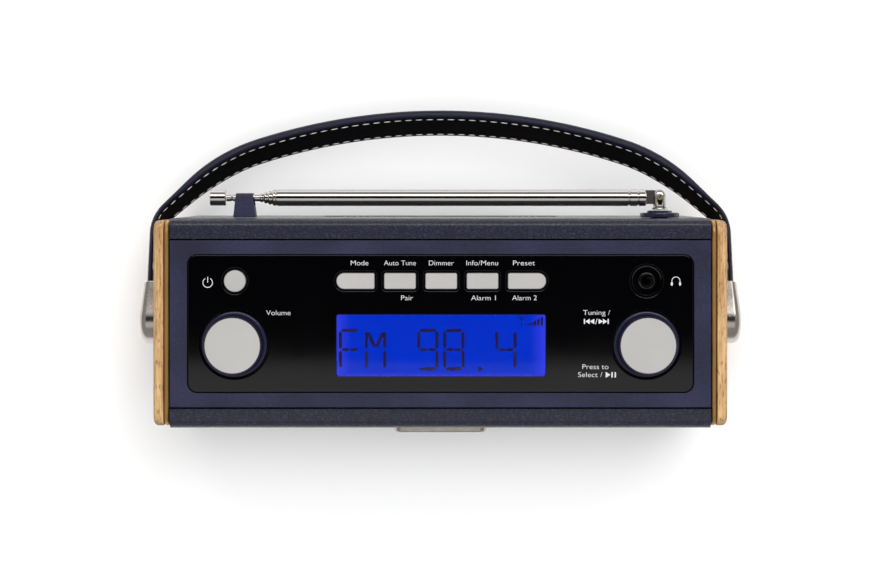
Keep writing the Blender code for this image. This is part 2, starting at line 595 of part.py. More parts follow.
def build_aerial(root, mats):
    """Gland, swivelling fork, tilting tube with its blade, three nested tubes, rod, tip and clip."""
    base = DEPTH / 2
    gland = [(0, -0.0075), (0.0040, -0.0075), (0.0040, GAP), (0.0083, GAP), (0.0087, 0.0007),
             (0.0087, 0.0020), (0.0083, 0.0024), (0.0055, 0.0024), (0.0054, 0.0034), (0, 0.0034)]
    add("aerial_gland", turned(gland, 24, (AERIAL_X, base, AERIAL_Z), "Y"), mats["navy_gloss"], root)

    swivel = (AERIAL_X, TILT_Y, AERIAL_Z)
    collar_low = base + 0.0034 + GAP
    ears = [(-0.0026, collar_low + 0.0010)]
    ears += arc((0, TILT_Y + 0.0007), 0.0026, 180, 0, 8)
    ears += [(0.0026, collar_low + 0.0010)]
    ears = [(AERIAL_X + x, y) for x, y in ears]
    fork = add("aerial_fork", rod(0.0035, collar_low, collar_low + 0.0013, 24,
                                  (AERIAL_X, AERIAL_Z), "Y"), mats["chrome"], root, swivel)
    fuse(fork, prism(ears, AERIAL_Z - EAR_OUT, AERIAL_Z + EAR_OUT))
    slot = BLADE_HALF + GAP
    carve(fork, block((AERIAL_X - 0.005, collar_low + 0.0016, AERIAL_Z - slot),
                      (AERIAL_X + 0.005, TILT_Y + 0.010, AERIAL_Z + slot)))
    carve(fork, rod(0.0011, AERIAL_Z - 0.005, AERIAL_Z + 0.005, 16, (AERIAL_X, TILT_Y)))
    pin = [(0, -EAR_OUT - 0.0004), (0.0008, -EAR_OUT - 0.0004), (0.0008, EAR_OUT + GAP),
           (0.0018, EAR_OUT + GAP), (0.0018, EAR_OUT + 0.0009), (0, EAR_OUT + 0.0009)]
    add("aerial_pivot_screw", turned(pin, 16, swivel), mats["steel"], root, swivel)

    bore = TUBE_RADII[1] + TUBE_CLEAR
    profile = [(0, TUBE_RIGHT), (TUBE_RADII[0] - 0.0008, TUBE_RIGHT), (TUBE_RADII[0], TUBE_RIGHT - 0.0008),
               (TUBE_RADII[0], TUBE_LEFT), (bore, TUBE_LEFT), (bore, BORE_END), (0, BORE_END)]
    main = add("aerial_tube_1", turned(profile, 20, (0, AERIAL_Y, AERIAL_Z), "X"),
               mats["chrome"], root, swivel)
    blade = [(TUBE_RIGHT - 0.0010, TILT_Y - 0.0032), (0.0945, TILT_Y - 0.0032)]
    blade += [(AERIAL_X + x, TILT_Y + y) for x, y in arc((0, 0), 0.0025, -90, 90, 8)]
    blade += [(0.0945, TILT_Y + 0.0030), (TUBE_RIGHT - 0.0010, TILT_Y + 0.0030)]
    fuse(main, prism(blade, AERIAL_Z - BLADE_HALF, AERIAL_Z + BLADE_HALF))
    carve(main, rod(0.0011, AERIAL_Z - 0.003, AERIAL_Z + 0.003, 16, (AERIAL_X, TILT_Y)))

    for index in (1, 2, 3):
        inner = TUBE_RADII[index + 1] if index < 3 else ROD_RADIUS
        low = TUBE_LEFT - TUBE_STEP * index
        high = BORE_END - 0.002 * index
        add(f"aerial_tube_{index + 1}", tube(TUBE_RADII[index], inner + TUBE_CLEAR, low, high),
            mats["chrome"], root, swivel)
    add("aerial_rod", rod(ROD_RADIUS, TIP_SPAN[1] + GAP, BORE_END - 0.008, 20, (AERIAL_Y, AERIAL_Z), "X"),
        mats["chrome"], root, swivel)
    low, high = TIP_SPAN
    tip = [(0, low), (TIP_RADIUS - 0.0003, low), (TIP_RADIUS, low + 0.0003),
           (TIP_RADIUS, high - 0.0003), (TIP_RADIUS - 0.0003, high), (0, high)]
    add("aerial_tip", turned(tip, 20, (0, AERIAL_Y, AERIAL_Z), "X"), mats["chrome"], root, swivel)

    throat = 0.0034
    jaw = 0.0047
    side = [(base + GAP, AERIAL_Z - jaw), (AERIAL_Y + 0.0010, AERIAL_Z - jaw),
            (AERIAL_Y + 0.0021, AERIAL_Z - jaw + 0.0010), (AERIAL_Y + 0.0021, AERIAL_Z - throat + 0.0003),
            (AERIAL_Y + 0.0010, AERIAL_Z - throat), (AERIAL_Y - throat, AERIAL_Z - throat),
            (AERIAL_Y - throat, AERIAL_Z + throat), (AERIAL_Y + 0.0010, AERIAL_Z + throat),
            (AERIAL_Y + 0.0021, AERIAL_Z + throat - 0.0003), (AERIAL_Y + 0.0021, AERIAL_Z + jaw - 0.0010),
            (AERIAL_Y + 0.0010, AERIAL_Z + jaw), (base + GAP, AERIAL_Z + jaw)]
    clip = prism(side, CLIP_X - 0.005, CLIP_X + 0.005, "X")
    span = AERIAL_Y + 0.0021 - base
    for vert in clip.verts:
        share = (vert.co.y - base) / span
        vert.co.x = CLIP_X + (vert.co.x - CLIP_X) * (1 - 0.26 * share)
    add("aerial_clip", clip, mats["navy"], root)


def main():
    clear_scene()
    mats = {
        "cover": surface("Leathercloth navy", (0.030, 0.030, 0.048), 0.55),
        "wood": surface("Oiled beech", (0.610, 0.377, 0.180), 0.50),
        "brass": surface("Aged brass", (0.310, 0.195, 0.080), 0.32, 1.0),
        "navy": surface("Navy satin plastic", (0.036, 0.036, 0.066), 0.45),
        "navy_gloss": surface("Navy gloss plastic", (0.026, 0.026, 0.070), 0.25),
        "gloss": surface("Black acrylic", (0.002, 0.002, 0.002), 0.06),
        "glass": surface("Clear acrylic", (0.05, 0.08, 0.60), 0.05, 0.0, 0.35),
        "lcd": surface("Backlit display", (0.0, 0.03, 0.75), 0.30),
        "board": surface("Circuit board", (0.020, 0.120, 0.040), 0.50),
        "silver": surface("Satin silver plastic", (0.570, 0.560, 0.545), 0.38, 0.2),
        "steel": surface("Zinc steel", (0.450, 0.440, 0.420), 0.35, 1.0),
        "chrome": surface("Chrome", (0.700, 0.690, 0.670), 0.10, 1.0),
        "dark_metal": surface("Blackened metal", (0.030, 0.030, 0.032), 0.35, 0.6),
        "black": surface("Black moulded plastic", (0.008, 0.008, 0.009), 0.40),
        "grille": surface("Painted steel grille", (0.025, 0.025, 0.040), 0.45),
        "paper": surface("Treated paper cone", (0.020, 0.020, 0.020), 0.80),
        "fibreboard": surface("Fibreboard", (0.230, 0.140, 0.070), 0.80),
        "leather": surface("Padded leather", (0.018, 0.018, 0.032), 0.40),
        "rubber": surface("Foot rubber", (0.012, 0.012, 0.012), 0.80),
        "cell": surface("Cell wrap", (0.150, 0.150, 0.160), 0.40),
    }
    root = empty("radio_origin", (0, CABINET_Y, 0))
    build_cabinet(root, mats)
    build_top(root, mats)
    build_knobs(root, mats)
    build_keys(root, mats)
    build_headphone_socket(root, mats)
    build_front(root, mats)
    build_rear(root, mats)
    build_handle(root, mats)
    build_aerial(root, mats)


main()
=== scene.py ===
"""Finishes and detailed pieces of a portable tabletop radio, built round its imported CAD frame."""
import json
import math

import bmesh
import bpy
from bpy.props import FloatProperty, FloatVectorProperty, IntProperty, PointerProperty, StringProperty
from mathutils import Matrix, Vector


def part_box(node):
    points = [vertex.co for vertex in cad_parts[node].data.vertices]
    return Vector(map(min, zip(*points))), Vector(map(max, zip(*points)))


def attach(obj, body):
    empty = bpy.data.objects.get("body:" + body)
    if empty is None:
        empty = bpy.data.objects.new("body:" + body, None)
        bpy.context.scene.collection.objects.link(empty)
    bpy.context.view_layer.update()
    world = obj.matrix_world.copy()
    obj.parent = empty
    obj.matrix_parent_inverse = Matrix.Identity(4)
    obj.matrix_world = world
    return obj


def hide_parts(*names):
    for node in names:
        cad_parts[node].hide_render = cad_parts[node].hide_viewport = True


bl_info = {
    "name": "Portable Radio Finisher",
    "version": (1, 0, 0),
    "blender": (4, 5, 0),
    "location": "View3D > Sidebar > Radio",
    "description": "Builds the finished pieces, materials and stage of a portable tabletop radio",
    "category": "Object",
}

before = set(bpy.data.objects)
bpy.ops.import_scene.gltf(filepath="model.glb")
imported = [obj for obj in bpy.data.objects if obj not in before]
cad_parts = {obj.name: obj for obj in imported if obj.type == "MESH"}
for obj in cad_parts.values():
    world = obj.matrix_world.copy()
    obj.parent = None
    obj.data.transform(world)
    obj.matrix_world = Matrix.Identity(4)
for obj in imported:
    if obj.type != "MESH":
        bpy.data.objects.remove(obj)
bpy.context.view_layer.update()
MM = 0.001


def corners(node):
    """Lowest and highest corner of a CAD node."""
    low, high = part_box(node)
    return Vector(low), Vector(high)


def middle(node):
    """Middle of a CAD node's box."""
    low, high = corners(node)
    return (low + high) / 2


CABINET = middle("left_cheek").y
PANEL_TOP = corners("control_panel")[1].z
PANEL_LOW = corners("control_panel")[0].z
ROW_Y = middle("dimmer_button").y
AERIAL_Y = middle("aerial_rod").y
AERIAL_Z = middle("aerial_rod").z
REAR_FACE = CABINET + 0.046

# Aerial: outer radius of each tube and of the rod, and the free play in each bore
TUBE_RADII = (0.0036, 0.00305, 0.0025, 0.00195, 0.0015)
TUBE_PLAY = 0.00013
TUBE_RIGHT = 0.0915
TUBE_GROOVES = (0.0879, 0.08385)
FORK_RADIUS = 0.0026

# Strap handle, in its own plane that turns about the pivots: across, reach and thickness.
# Its shoulder is drawn up to 2 mm tighter than the CAD solid that collides in its place.
HANDLE_PIVOT = Vector((0, CABINET, middle("left_pivot_screw").z))
HANDLE_DROOP = math.radians(21.5)
STRAP_LEG_X = 0.1317
STRAP_REACH = 0.0988
STRAP_CROWN = 0.2547
STRAP_CROWN_ANGLE = math.radians(19.5)
STRAP_SHOULDER = 0.078
STRAP_SHOULDER_ANGLE = math.radians(47.0)
STRAP_FLAT = 0.0150
STRAP_START = 0.0052
STRAP_WIDTH = (0.0200, 0.0232)
STRAP_THICK = (0.0021, 0.0042)
PADDING_SPAN = (0.048, 0.078)
BRACKET_IN = 0.1264
BRACKET_OUT = 0.1343
BRACKET_HALF = 0.0108
BRACKET_REACH = 0.0148
BRACKET_LUG = 0.0104
BRACKET_NEAR = 0.0050
BRACKET_FLARE = 0.105
BRACKET_TAPER = 0.19

# Camera, above the middle of the fascia
CAMERA_SIDE = 0.0003
CAMERA_BEHIND = 0.0585
CAMERA_HEIGHT = 1.125
CAMERA_SHIFT = (-0.0023, -0.1167)


def linear(text):
    """sRGB hex colour as linear red, green and blue."""
    parts = [int(text[i:i + 2], 16) / 255 for i in (0, 2, 4)]
    return tuple(p / 12.92 if p <= 0.04045 else ((p + 0.055) / 1.055) ** 2.4 for p in parts)


def colour_property(name, description, text):
    """Colour picker whose default is an sRGB hex colour."""
    return FloatVectorProperty(name=name, description=description, subtype="COLOR", size=3,
                               min=0.0, max=1.0, default=linear(text))


def length_property(name, description, value):
    """Length in metres."""
    return FloatProperty(name=name, description=description, default=value, unit="LENGTH")


class RadioSizes(bpy.types.PropertyGroup):
    """Sizes of the finished pieces."""

    cheek_edge: length_property("Cheek edge", "Rounding of the wooden cheeks' outer edge", 0.0022)
    key_edge: length_property("Key edge", "Rounding of the keys' upper edge", 0.0006)
    panel_edge: length_property("Panel edge", "Rounding of the gloss panel's rims", 0.00028)
    stitch_pitch: length_property("Stitch pitch", "Distance from one stitch to the next", 0.0050)
    stitch_length: length_property("Stitch length", "Length of one stitch", 0.0038)
    stitch_inset: length_property("Stitch inset", "Stitch row to the strap's edge", 0.0029)
    hole_pitch: length_property("Hole pitch", "Distance between holes of the front grille", 0.0042)
    hole_radius: length_property("Hole radius", "Radius of one hole of the front grille", 0.0014)
    turned_steps: IntProperty(name="Turned steps", description="Steps round a turned piece",
                              default=96, min=24, max=128)
    camera_lens: FloatProperty(name="Lens", description="Focal length of the camera",
                               default=93.6, unit="CAMERA")


class RadioColours(bpy.types.PropertyGroup):
    """Colours of the main finishes."""

    wood_pale: colour_property("Pale wood", "Lightest tone of the beech", "C4A275")
    wood_deep: colour_property("Deep wood", "Darkest tone of the beech", "98724A")
    cloth: colour_property("Leathercloth", "Covering of the cabinet", "1B1C2E")
    satin: colour_property("Satin plastic", "Fascia, hatch and aerial rest", "212136")
    gloss: colour_property("Gloss plastic", "Knob bodies and aerial gland", "14142C")
    silver: colour_property("Silver paint", "Keys and knob caps", "9D9B99")
    brass: colour_property("Brass", "Edging round the cheeks", "D3AA69")
    leather: colour_property("Leather", "Strap of the handle", "0D0D20")
    thread: colour_property("Thread", "Stitching of the strap", "DAD2CB")
    backlight: colour_property("Backlight", "Middle of the display", "002DC7")
    ink: colour_property("Ink", "Lettering on the panel", "C2C2C2")


# Materials ---------------------------------------------------------------------------------

def put(tree, kind, inputs=None, **settings):
    """Adds a node, or takes one that is there, and gives it its settings, values and links."""
    made = tree.nodes.new("ShaderNode" + kind) if isinstance(kind, str) else kind
    for key, value in settings.items():
        setattr(made, key, value)
    for key, value in (inputs or {}).items():
        if isinstance(value, bpy.types.NodeSocket):
            tree.links.new(value, made.inputs[key])
        else:
            made.inputs[key].default_value = value
    return made


def begin(name):
    """New material with its node tree and main shader."""
    made = bpy.data.materials.new(name)
    made.use_nodes = True
    return made, made.node_tree, made.node_tree.nodes["Principled BSDF"]


def rgba(colour):
    """Colour with full alpha."""
    return (*colour, 1.0)


def shades(colour, dark, pale):
    """The same colour at a darker and at a paler strength."""
    return [v * dark for v in colour], [v * pale for v in colour]


def grained(name, tones, roughness, grain, depth, metallic=0.0, ior=1.5, contrast=0.25):
    """Surface whose tone, gloss and relief vary in a fine grain of a real size in metres.

    The tones are the darker and the paler end, as sRGB hex or as linear colours.
    """
    made, tree, shader = begin(name)
    one, two = (linear(tone) if isinstance(tone, str) else tone for tone in tones)
    spot = put(tree, "TexCoord").outputs["Object"]
    fine = put(tree, "TexNoise", {"Vector": spot, "Scale": 1 / grain, "Detail": 3.0, "Roughness": 0.6})
    broad = put(tree, "TexNoise", {"Vector": spot, "Scale": 1 / 0.030, "Detail": 2.0})
    share = put(tree, "Math", {0: fine.outputs["Fac"], 1: broad.outputs["Fac"]}, operation="ADD")
    tone = put(tree, "MapRange", {"Value": share.outputs[0], "From Min": 1 - contrast,
                                  "From Max": 1 + contrast})
    mixed = put(tree, "Mix", {0: tone.outputs[0], 6: rgba(one), 7: rgba(two)}, data_type="RGBA")
    gloss = put(tree, "MapRange", {"Value": broad.outputs["Fac"], "From Min": 0.3, "From Max": 0.7,
                                   "To Min": roughness * 0.88, "To Max": roughness * 1.12})
    relief = put(tree, "Bump", {"Height": fine.outputs["Fac"], "Strength": 0.6, "Distance": depth})
    put(tree, shader, {"Base Color": mixed.outputs[2], "Roughness": gloss.outputs[0],
                       "Normal": relief.outputs[0], "Metallic": metallic})
    if not metallic:
        shader.inputs["IOR"].default_value = ior
    return made


def oiled_beech(colours):
    """Solid beech, sanded and oiled: warm, with short dark pores that run front to back."""
    made, tree, shader = begin("oiled_beech")
    spot = put(tree, "TexCoord").outputs["Object"]
    # figure about 5 mm wide, drawn out 14 times along the grain
    along = put(tree, "Mapping", {"Vector": spot, "Scale": (1, 0.07, 1)})
    figure = put(tree, "TexNoise", {"Vector": along.outputs[0], "Scale": 1 / 0.005, "Detail": 4.0,
                                    "Roughness": 0.6, "Distortion": 0.4})
    fibre = put(tree, "TexNoise", {"Vector": along.outputs[0], "Scale": 1 / 0.0008, "Detail": 3.0})
    # pores 0.5 mm wide and about 2.5 mm long
    short = put(tree, "Mapping", {"Vector": spot, "Scale": (1, 0.2, 1)})
    pore = put(tree, "TexNoise", {"Vector": short.outputs[0], "Scale": 1 / 0.0007, "Detail": 1.0})
    pores = put(tree, "MapRange", {"Value": pore.outputs["Fac"], "From Min": 0.59, "From Max": 0.68})
    share = put(tree, "Math", {0: figure.outputs["Fac"], 1: fibre.outputs["Fac"]}, operation="ADD")
    tone = put(tree, "MapRange", {"Value": share.outputs[0], "From Min": 0.78, "From Max": 1.22})
    body = put(tree, "Mix", {0: tone.outputs[0], 6: rgba(colours.wood_pale), 7: rgba(colours.wood_deep)},
               data_type="RGBA")
    faded = put(tree, "Math", {0: pores.outputs[0], 1: 0.62}, operation="MULTIPLY")
    dark = put(tree, "Mix", {0: faded.outputs[0], 6: body.outputs[2], 7: rgba(linear("5E3E20"))},
               data_type="RGBA")
    gloss = put(tree, "MapRange", {"Value": tone.outputs[0], "To Min": 0.58, "To Max": 0.72})
    dip = put(tree, "Math", {0: fibre.outputs["Fac"], 1: pores.outputs[0]}, operation="SUBTRACT")
    relief = put(tree, "Bump", {"Height": dip.outputs[0], "Strength": 0.5, "Distance": 0.00012})
    put(tree, shader, {"Base Color": dark.outputs[2], "Roughness": gloss.outputs[0],
                       "Normal": relief.outputs[0], "IOR": 1.5})
    return made


def embossed_leathercloth(colours):
    """Vinyl-faced cloth with an embossed hide grain: dull, with small glints on the creases, which carry
    painted shade.
    """
    made, tree, shader = begin("embossed_leathercloth")
    spot = put(tree, "TexCoord").outputs["Object"]
    bent = put(tree, "TexNoise", {"Vector": spot, "Scale": 1 / 0.004, "Detail": 2.0})
    shift = put(tree, "MixRGB", {0: 0.004, 1: spot, 2: bent.outputs["Color"]}, blend_type="ADD")
    # hide cells about 2.4 mm across with creases between them
    cells = put(tree, "TexVoronoi", {"Vector": shift.outputs[0], "Scale": 1 / 0.0024},
                feature="DISTANCE_TO_EDGE")
    crease = put(tree, "MapRange", {"Value": cells.outputs["Distance"], "From Min": 0.0,
                                    "From Max": 0.22})
    fine = put(tree, "TexNoise", {"Vector": spot, "Scale": 1 / 0.0004, "Detail": 2.0})
    height = put(tree, "Math", {0: fine.outputs["Fac"], 1: 0.3, 2: crease.outputs[0]},
                 operation="MULTIPLY_ADD")
    relief = put(tree, "Bump", {"Height": height.outputs[0], "Strength": 0.8, "Distance": 0.00036})
    # painted shade: the creases are darkened to 0.6 of the cloth's colour
    mixed = put(tree, "Mix", {0: crease.outputs[0], 6: rgba([v * 0.6 for v in colours.cloth]),
                              7: rgba(colours.cloth)}, data_type="RGBA")
    gloss = put(tree, "MapRange", {"Value": bent.outputs["Fac"], "To Min": 0.36, "To Max": 0.56})
    put(tree, shader, {"Base Color": mixed.outputs[2], "Roughness": gloss.outputs[0],
                       "Normal": relief.outputs[0], "IOR": 1.45, "Coat Weight": 0.45,
                       "Coat Roughness": 0.18})
    return made


def drawn_metal(name, colour, roughness, scratch):
    """Metal drawn or turned and polished: mirror-like, with faint lines along its length."""
    made, tree, shader = begin(name)
    spot = put(tree, "TexCoord").outputs["Object"]
    # drawing lines 0.3 mm apart, drawn out 40 times along the piece
    along = put(tree, "Mapping", {"Vector": spot, "Scale": (0.025, 1, 1)})
    lines = put(tree, "TexNoise", {"Vector": along.outputs[0], "Scale": 1 / 0.0003, "Detail": 2.0})
    haze = put(tree, "TexNoise", {"Vector": spot, "Scale": 1 / 0.012, "Detail": 3.0})
    gloss = put(tree, "MapRange", {"Value": haze.outputs["Fac"], "From Min": 0.3, "From Max": 0.7,
                                   "To Min": roughness * 0.8, "To Max": roughness * 1.3})
    tone = put(tree, "Mix", {0: haze.outputs["Fac"], 6: rgba([v * 0.93 for v in colour]),
                             7: rgba(colour)}, data_type="RGBA")
    relief = put(tree, "Bump", {"Height": lines.outputs["Fac"], "Strength": scratch,
                                "Distance": 0.00004})
    put(tree, shader, {"Base Color": tone.outputs[2], "Roughness": gloss.outputs[0],
                       "Normal": relief.outputs[0], "Metallic": 1.0})
    return made


def black_acrylic(colours):
    """Cast acrylic sheet, screen-backed in black: deep and glossy, with a trace of wiping marks."""
    made, tree, shader = begin("black_acrylic")
    spot = put(tree, "TexCoord").outputs["Object"]
    wiped = put(tree, "TexNoise", {"Vector": spot, "Scale": 1 / 0.018, "Detail": 4.0})
    gloss = put(tree, "MapRange", {"Value": wiped.outputs["Fac"], "To Min": 0.04, "To Max": 0.09})
    put(tree, shader, {"Base Color": rgba(linear("020203")), "Roughness": gloss.outputs[0],
                       "IOR": 1.49})
    return made


def clear_acrylic(colours):
    """Clear cast acrylic with a coating against glare: see-through, with a polished face."""
    made, tree, shader = begin("clear_acrylic")
    spot = put(tree, "TexCoord").outputs["Object"]
    wiped = put(tree, "TexNoise", {"Vector": spot, "Scale": 1 / 0.015, "Detail": 3.0})
    gloss = put(tree, "MapRange", {"Value": wiped.outputs["Fac"], "To Min": 0.01, "To Max": 0.04})
    put(tree, shader, {"Base Color": (1, 1, 1, 1), "Roughness": gloss.outputs[0],
                       "Transmission Weight": 1.0, "IOR": 1.2})
    return made


def backlit_display(colours):
    """Liquid crystal display with a blue backlight: brighter and more violet towards its edges."""
    made, tree, shader = begin("backlit_display")
    low, high = corners("display_window")
    centre = (low + high) / 2
    spot = put(tree, "TexCoord").outputs["Object"]
    span = high - low
    around = put(tree, "Mapping", {"Vector": spot, "Scale": (2 / span.x, 2 / span.y, 0),
                                   "Location": (-2 * centre.x / span.x, -2 * centre.y / span.y, 0)})
    split = put(tree, "SeparateXYZ", {0: around.outputs[0]})
    side = put(tree, "Math", {0: split.outputs[0]}, operation="ABSOLUTE")
    sides = put(tree, "MapRange", {"Value": side.outputs[0], "From Min": 0.84, "From Max": 1.05},
                interpolation_type="SMOOTHSTEP")
    foot = put(tree, "MapRange", {"Value": split.outputs[1], "From Min": -0.88, "From Max": -1.06},
               interpolation_type="SMOOTHSTEP")
    edge = put(tree, "Math", {0: sides.outputs[0], 1: foot.outputs[0]}, operation="MAXIMUM")
    hazy = put(tree, "TexNoise", {"Vector": spot, "Scale": 1 / 0.020, "Detail": 1.0})
    mottle = put(tree, "MapRange", {"Value": hazy.outputs["Fac"], "To Min": 0.9, "To Max": 1.1})
    glow = put(tree, "Mix", {0: edge.outputs[0], 6: rgba(colours.backlight), 7: rgba(linear("343FE6"))},
               data_type="RGBA")
    put(tree, shader, {"Base Color": rgba(linear("000410")), "Roughness": 0.5, "Specular IOR Level": 0.1,
                       "Emission Color": glow.outputs[2], "Emission Strength": mottle.outputs[0]})
    return made


def glazed_leather(colours):
    """Full-grain leather, dyed and glazed, over soft padding: smooth, with fine pores."""
    made, tree, shader = begin("glazed_leather")
    spot = put(tree, "TexCoord").outputs["Object"]
    # pores 0.7 mm apart and soft creases about 6 mm long
    pores = put(tree, "TexVoronoi", {"Vector": spot, "Scale": 1 / 0.0007}, feature="SMOOTH_F1")
    crease = put(tree, "TexNoise", {"Vector": spot, "Scale": 1 / 0.006, "Detail": 4.0})
    height = put(tree, "Math", {0: pores.outputs["Distance"], 1: 0.35, 2: crease.outputs["Fac"]},
                 operation="MULTIPLY_ADD")
    relief = put(tree, "Bump", {"Height": height.outputs[0], "Strength": 0.35, "Distance": 0.0002})
    worn = put(tree, "MapRange", {"Value": crease.outputs["Fac"], "From Min": 0.35, "From Max": 0.65})
    tone = put(tree, "Mix", {0: worn.outputs[0], 6: rgba([v * 0.8 for v in colours.leather]),
                             7: rgba([v * 1.25 for v in colours.leather])}, data_type="RGBA")
    gloss = put(tree, "MapRange", {"Value": worn.outputs[0], "To Min": 0.36, "To Max": 0.48})
    put(tree, shader, {"Base Color": tone.outputs[2], "Roughness": gloss.outputs[0],
                       "Normal": relief.outputs[0], "IOR": 1.4})
    return made


def circuit_board(colours):
    """Glass-epoxy board with green solder resist over copper tracks."""
    made, tree, shader = begin("circuit_board")
    spot = put(tree, "TexCoord").outputs["Object"]
    # tracks about 2.5 mm apart
    tracks = put(tree, "TexBrick", {"Vector": spot, "Scale": 1 / 0.010, "Mortar Size": 0.04,
                                    "Color1": rgba(linear("1E5A32")), "Color2": rgba(linear("1A5230")),
                                    "Mortar": rgba(linear("2F7A48"))})
    put(tree, shader, {"Base Color": tracks.outputs["Color"], "Roughness": 0.35, "IOR": 1.5})
    return made


FINISHES = {
    # beech, oiled
    "wood": oiled_beech,
    # vinyl leathercloth, embossed
    "cloth": embossed_leathercloth,
    # brass strip, rolled and aged: dull gold
    "brass": lambda c: drawn_metal("aged_brass", c.brass, 0.50, 0.25),
    # ABS moulded in a spark-eroded tool: matt with a fine speckle, 0.8 mm so that it shows
    "satin": lambda c: grained("spark_textured_abs", shades(c.satin, 0.65, 1.40), 0.50, 0.0008,
                               0.00016, ior=1.46),
    # ABS moulded in a polished tool: glossy
    "gloss": lambda c: grained("polished_abs", shades(c.gloss, 0.9, 1.1), 0.24, 0.0012, 0.00001),
    # acrylic, cast, backed in black
    "panel": black_acrylic,
    # acrylic, cast, clear
    "clear": clear_acrylic,
    # liquid crystal display with its backlight
    "display": backlit_display,
    # silver lacquer over ABS: fine metal flake, 0.3 mm so that it shows
    "silver": lambda c: grained("silver_lacquered_abs", shades(c.silver, 0.93, 1.05), 0.40, 0.0003,
                                0.000015, contrast=0.3),
    # steel, drawn and chromium plated: mirror bright
    "chrome": lambda c: drawn_metal("chromed_steel", linear("D2CDC6"), 0.09, 0.12),
    # zinc alloy, cast, barrelled and chromium plated: a little softer
    "cast_chrome": lambda c: grained("chromed_zinc_casting", ("B4ABA2", "C8C0B8"), 0.20, 0.005,
                                     0.00007, 1.0),
    # steel, milled and zinc plated: grey with faint tool marks
    "steel": lambda c: grained("zinc_plated_steel", ("8C8A86", "B4B1AB"), 0.34, 0.0006, 0.00002, 1.0),
    # steel, ground: dull grey
    "worn_steel": lambda c: grained("ground_steel", ("545352", "7A7876"), 0.42, 0.0005, 0.00003, 1.0),
    # steel, yellow-passivated
    "yellow_steel": lambda c: grained("yellow_passivated_steel", ("B5A27E", "D8C8A6"), 0.34, 0.0006,
                                      0.00002, 1.0),
    # steel, blackened
    "dark_metal": lambda c: grained("blackened_steel", ("232325", "3A393A"), 0.36, 0.0008, 0.00002,
                                    0.6),
    # ABS, black, moulded
    "black": lambda c: grained("moulded_black_abs", ("0B0B0C", "131315"), 0.38, 0.0005, 0.00003),
    # steel sheet, punched and powder coated: orange-peel surface, 1 mm
    "grille": lambda c: grained("powder_coated_steel", ("20202E", "2B2B3B"), 0.48, 0.0010, 0.00003),
    # paper pulp, pressed and treated: matt and fibrous
    "paper": lambda c: grained("pressed_paper_pulp", ("161616", "262524"), 0.85, 0.0009, 0.00010),
    # wood fibreboard, sawn
    "fibreboard": lambda c: grained("sawn_fibreboard", ("6E543A", "92704E"), 0.85, 0.0011, 0.00010),
    # leather, glazed, over padding
    "leather": glazed_leather,
    # suede lining, napped: very matt
    "lining": lambda c: grained("napped_suede", ("030304", "07070B"), 0.90, 0.0005, 0.00008, ior=1.3),
    # polyester thread, twisted and bonded
    "thread": lambda c: grained("bonded_polyester_thread", shades(c.thread, 0.8, 1.15), 0.60, 0.0004,
                                0.00008),
    # synthetic rubber, moulded: matt
    "rubber": lambda c: grained("moulded_rubber", ("101011", "1B1B1C"), 0.80, 0.0006, 0.00005),
    # shrunk plastic sleeve over steel
    "cell": lambda c: grained("shrunk_plastic_sleeve", ("4A4B50", "5A5B60"), 0.35, 0.0030, 0.00002),
    # screen-printed ink
    "ink": lambda c: grained("screen_printed_ink", shades(c.ink, 0.94, 1.06), 0.55, 0.0003, 0.00001),
    # liquid crystal segment, switched on: dark violet
    "segment": lambda c: grained("switched_liquid_crystal", ("1E0456", "260864"), 0.45, 0.0020,
                                 0.00001),
    # glass-epoxy board
    "board": circuit_board,
}


def finish_of(key):
    """Material of that finish, made the first time that it is asked for."""
    store = bpy.context.scene.radio_finishes
    names = json.loads(store) if store else {}
    if key not in names:
        names[key] = FINISHES[key](bpy.context.scene.radio_colours).name
        bpy.context.scene.radio_finishes = json.dumps(names)
    return bpy.data.materials[names[key]]


# Shapes ------------------------------------------------------------------------------------

PLACE = {
    "X": lambda u, v, w: Vector((w, u, v)),
    "Y": lambda u, v, w: Vector((u, w, v)),
    "Z": lambda u, v, w: Vector((u, v, w)),
}


def arc(centre, radius, start, end, steps):
    """Points on an arc, both ends included; angles in degrees."""
    turn = [math.radians(start + (end - start) * i / steps) for i in range(steps + 1)]
    return [(centre[0] + radius * math.cos(a), centre[1] + radius * math.sin(a)) for a in turn]


def rounded(width, height, radius, centre=(0.0, 0.0), steps=8):
    """Outline of a rounded rectangle as a function of how far it is grown."""
    radii = radius if isinstance(radius, tuple) else (radius,) * 4

    def outline(grow=0.0):
        points = []
        for index, (sx, sy) in enumerate(((1, 1), (-1, 1), (-1, -1), (1, -1))):
            r = max(radii[index] + grow, 0.00005)
            corner = (centre[0] + sx * (width / 2 + grow - r), centre[1] + sy * (height / 2 + grow - r))
            points += arc(corner, r, 90 * index, 90 * index + 90, steps)
        return points
    return outline


def box_outline(node, radius, steps, axes=(0, 1), grow=0.0):
    """Rounded outline of a CAD node's box, as its two axes show it, made wider by an amount."""
    low, high = corners(node)
    width, height = (high[axis] - low[axis] + grow for axis in axes)
    return rounded(width, height, radius, [middle(node)[axis] for axis in axes], steps)


def eased_rim(radius, top, ease):
    """Profile over the rounded rim of a disc and in to its middle."""
    points = [(radius, top - ease)]
    for degrees in (22, 45, 68, 90):
        turn = math.radians(degrees)
        points.append((radius - ease * (1 - math.cos(turn)), top - ease + ease * math.sin(turn)))
    return points + [(radius * 0.5, top), (0, top)]


def circle(radius, centre=(0.0, 0.0), steps=64):
    """Outline of a circle as a function of how far it is grown."""
    return lambda grow=0.0: arc(centre, radius + grow, 0, 360, steps)[:-1]


def loop(bm, points):
    """Closed ring of edges through the points."""
    verts = [bm.verts.new(point) for point in points]
    return [bm.edges.new(pair) for pair in zip(verts, verts[1:] + verts[:1])]


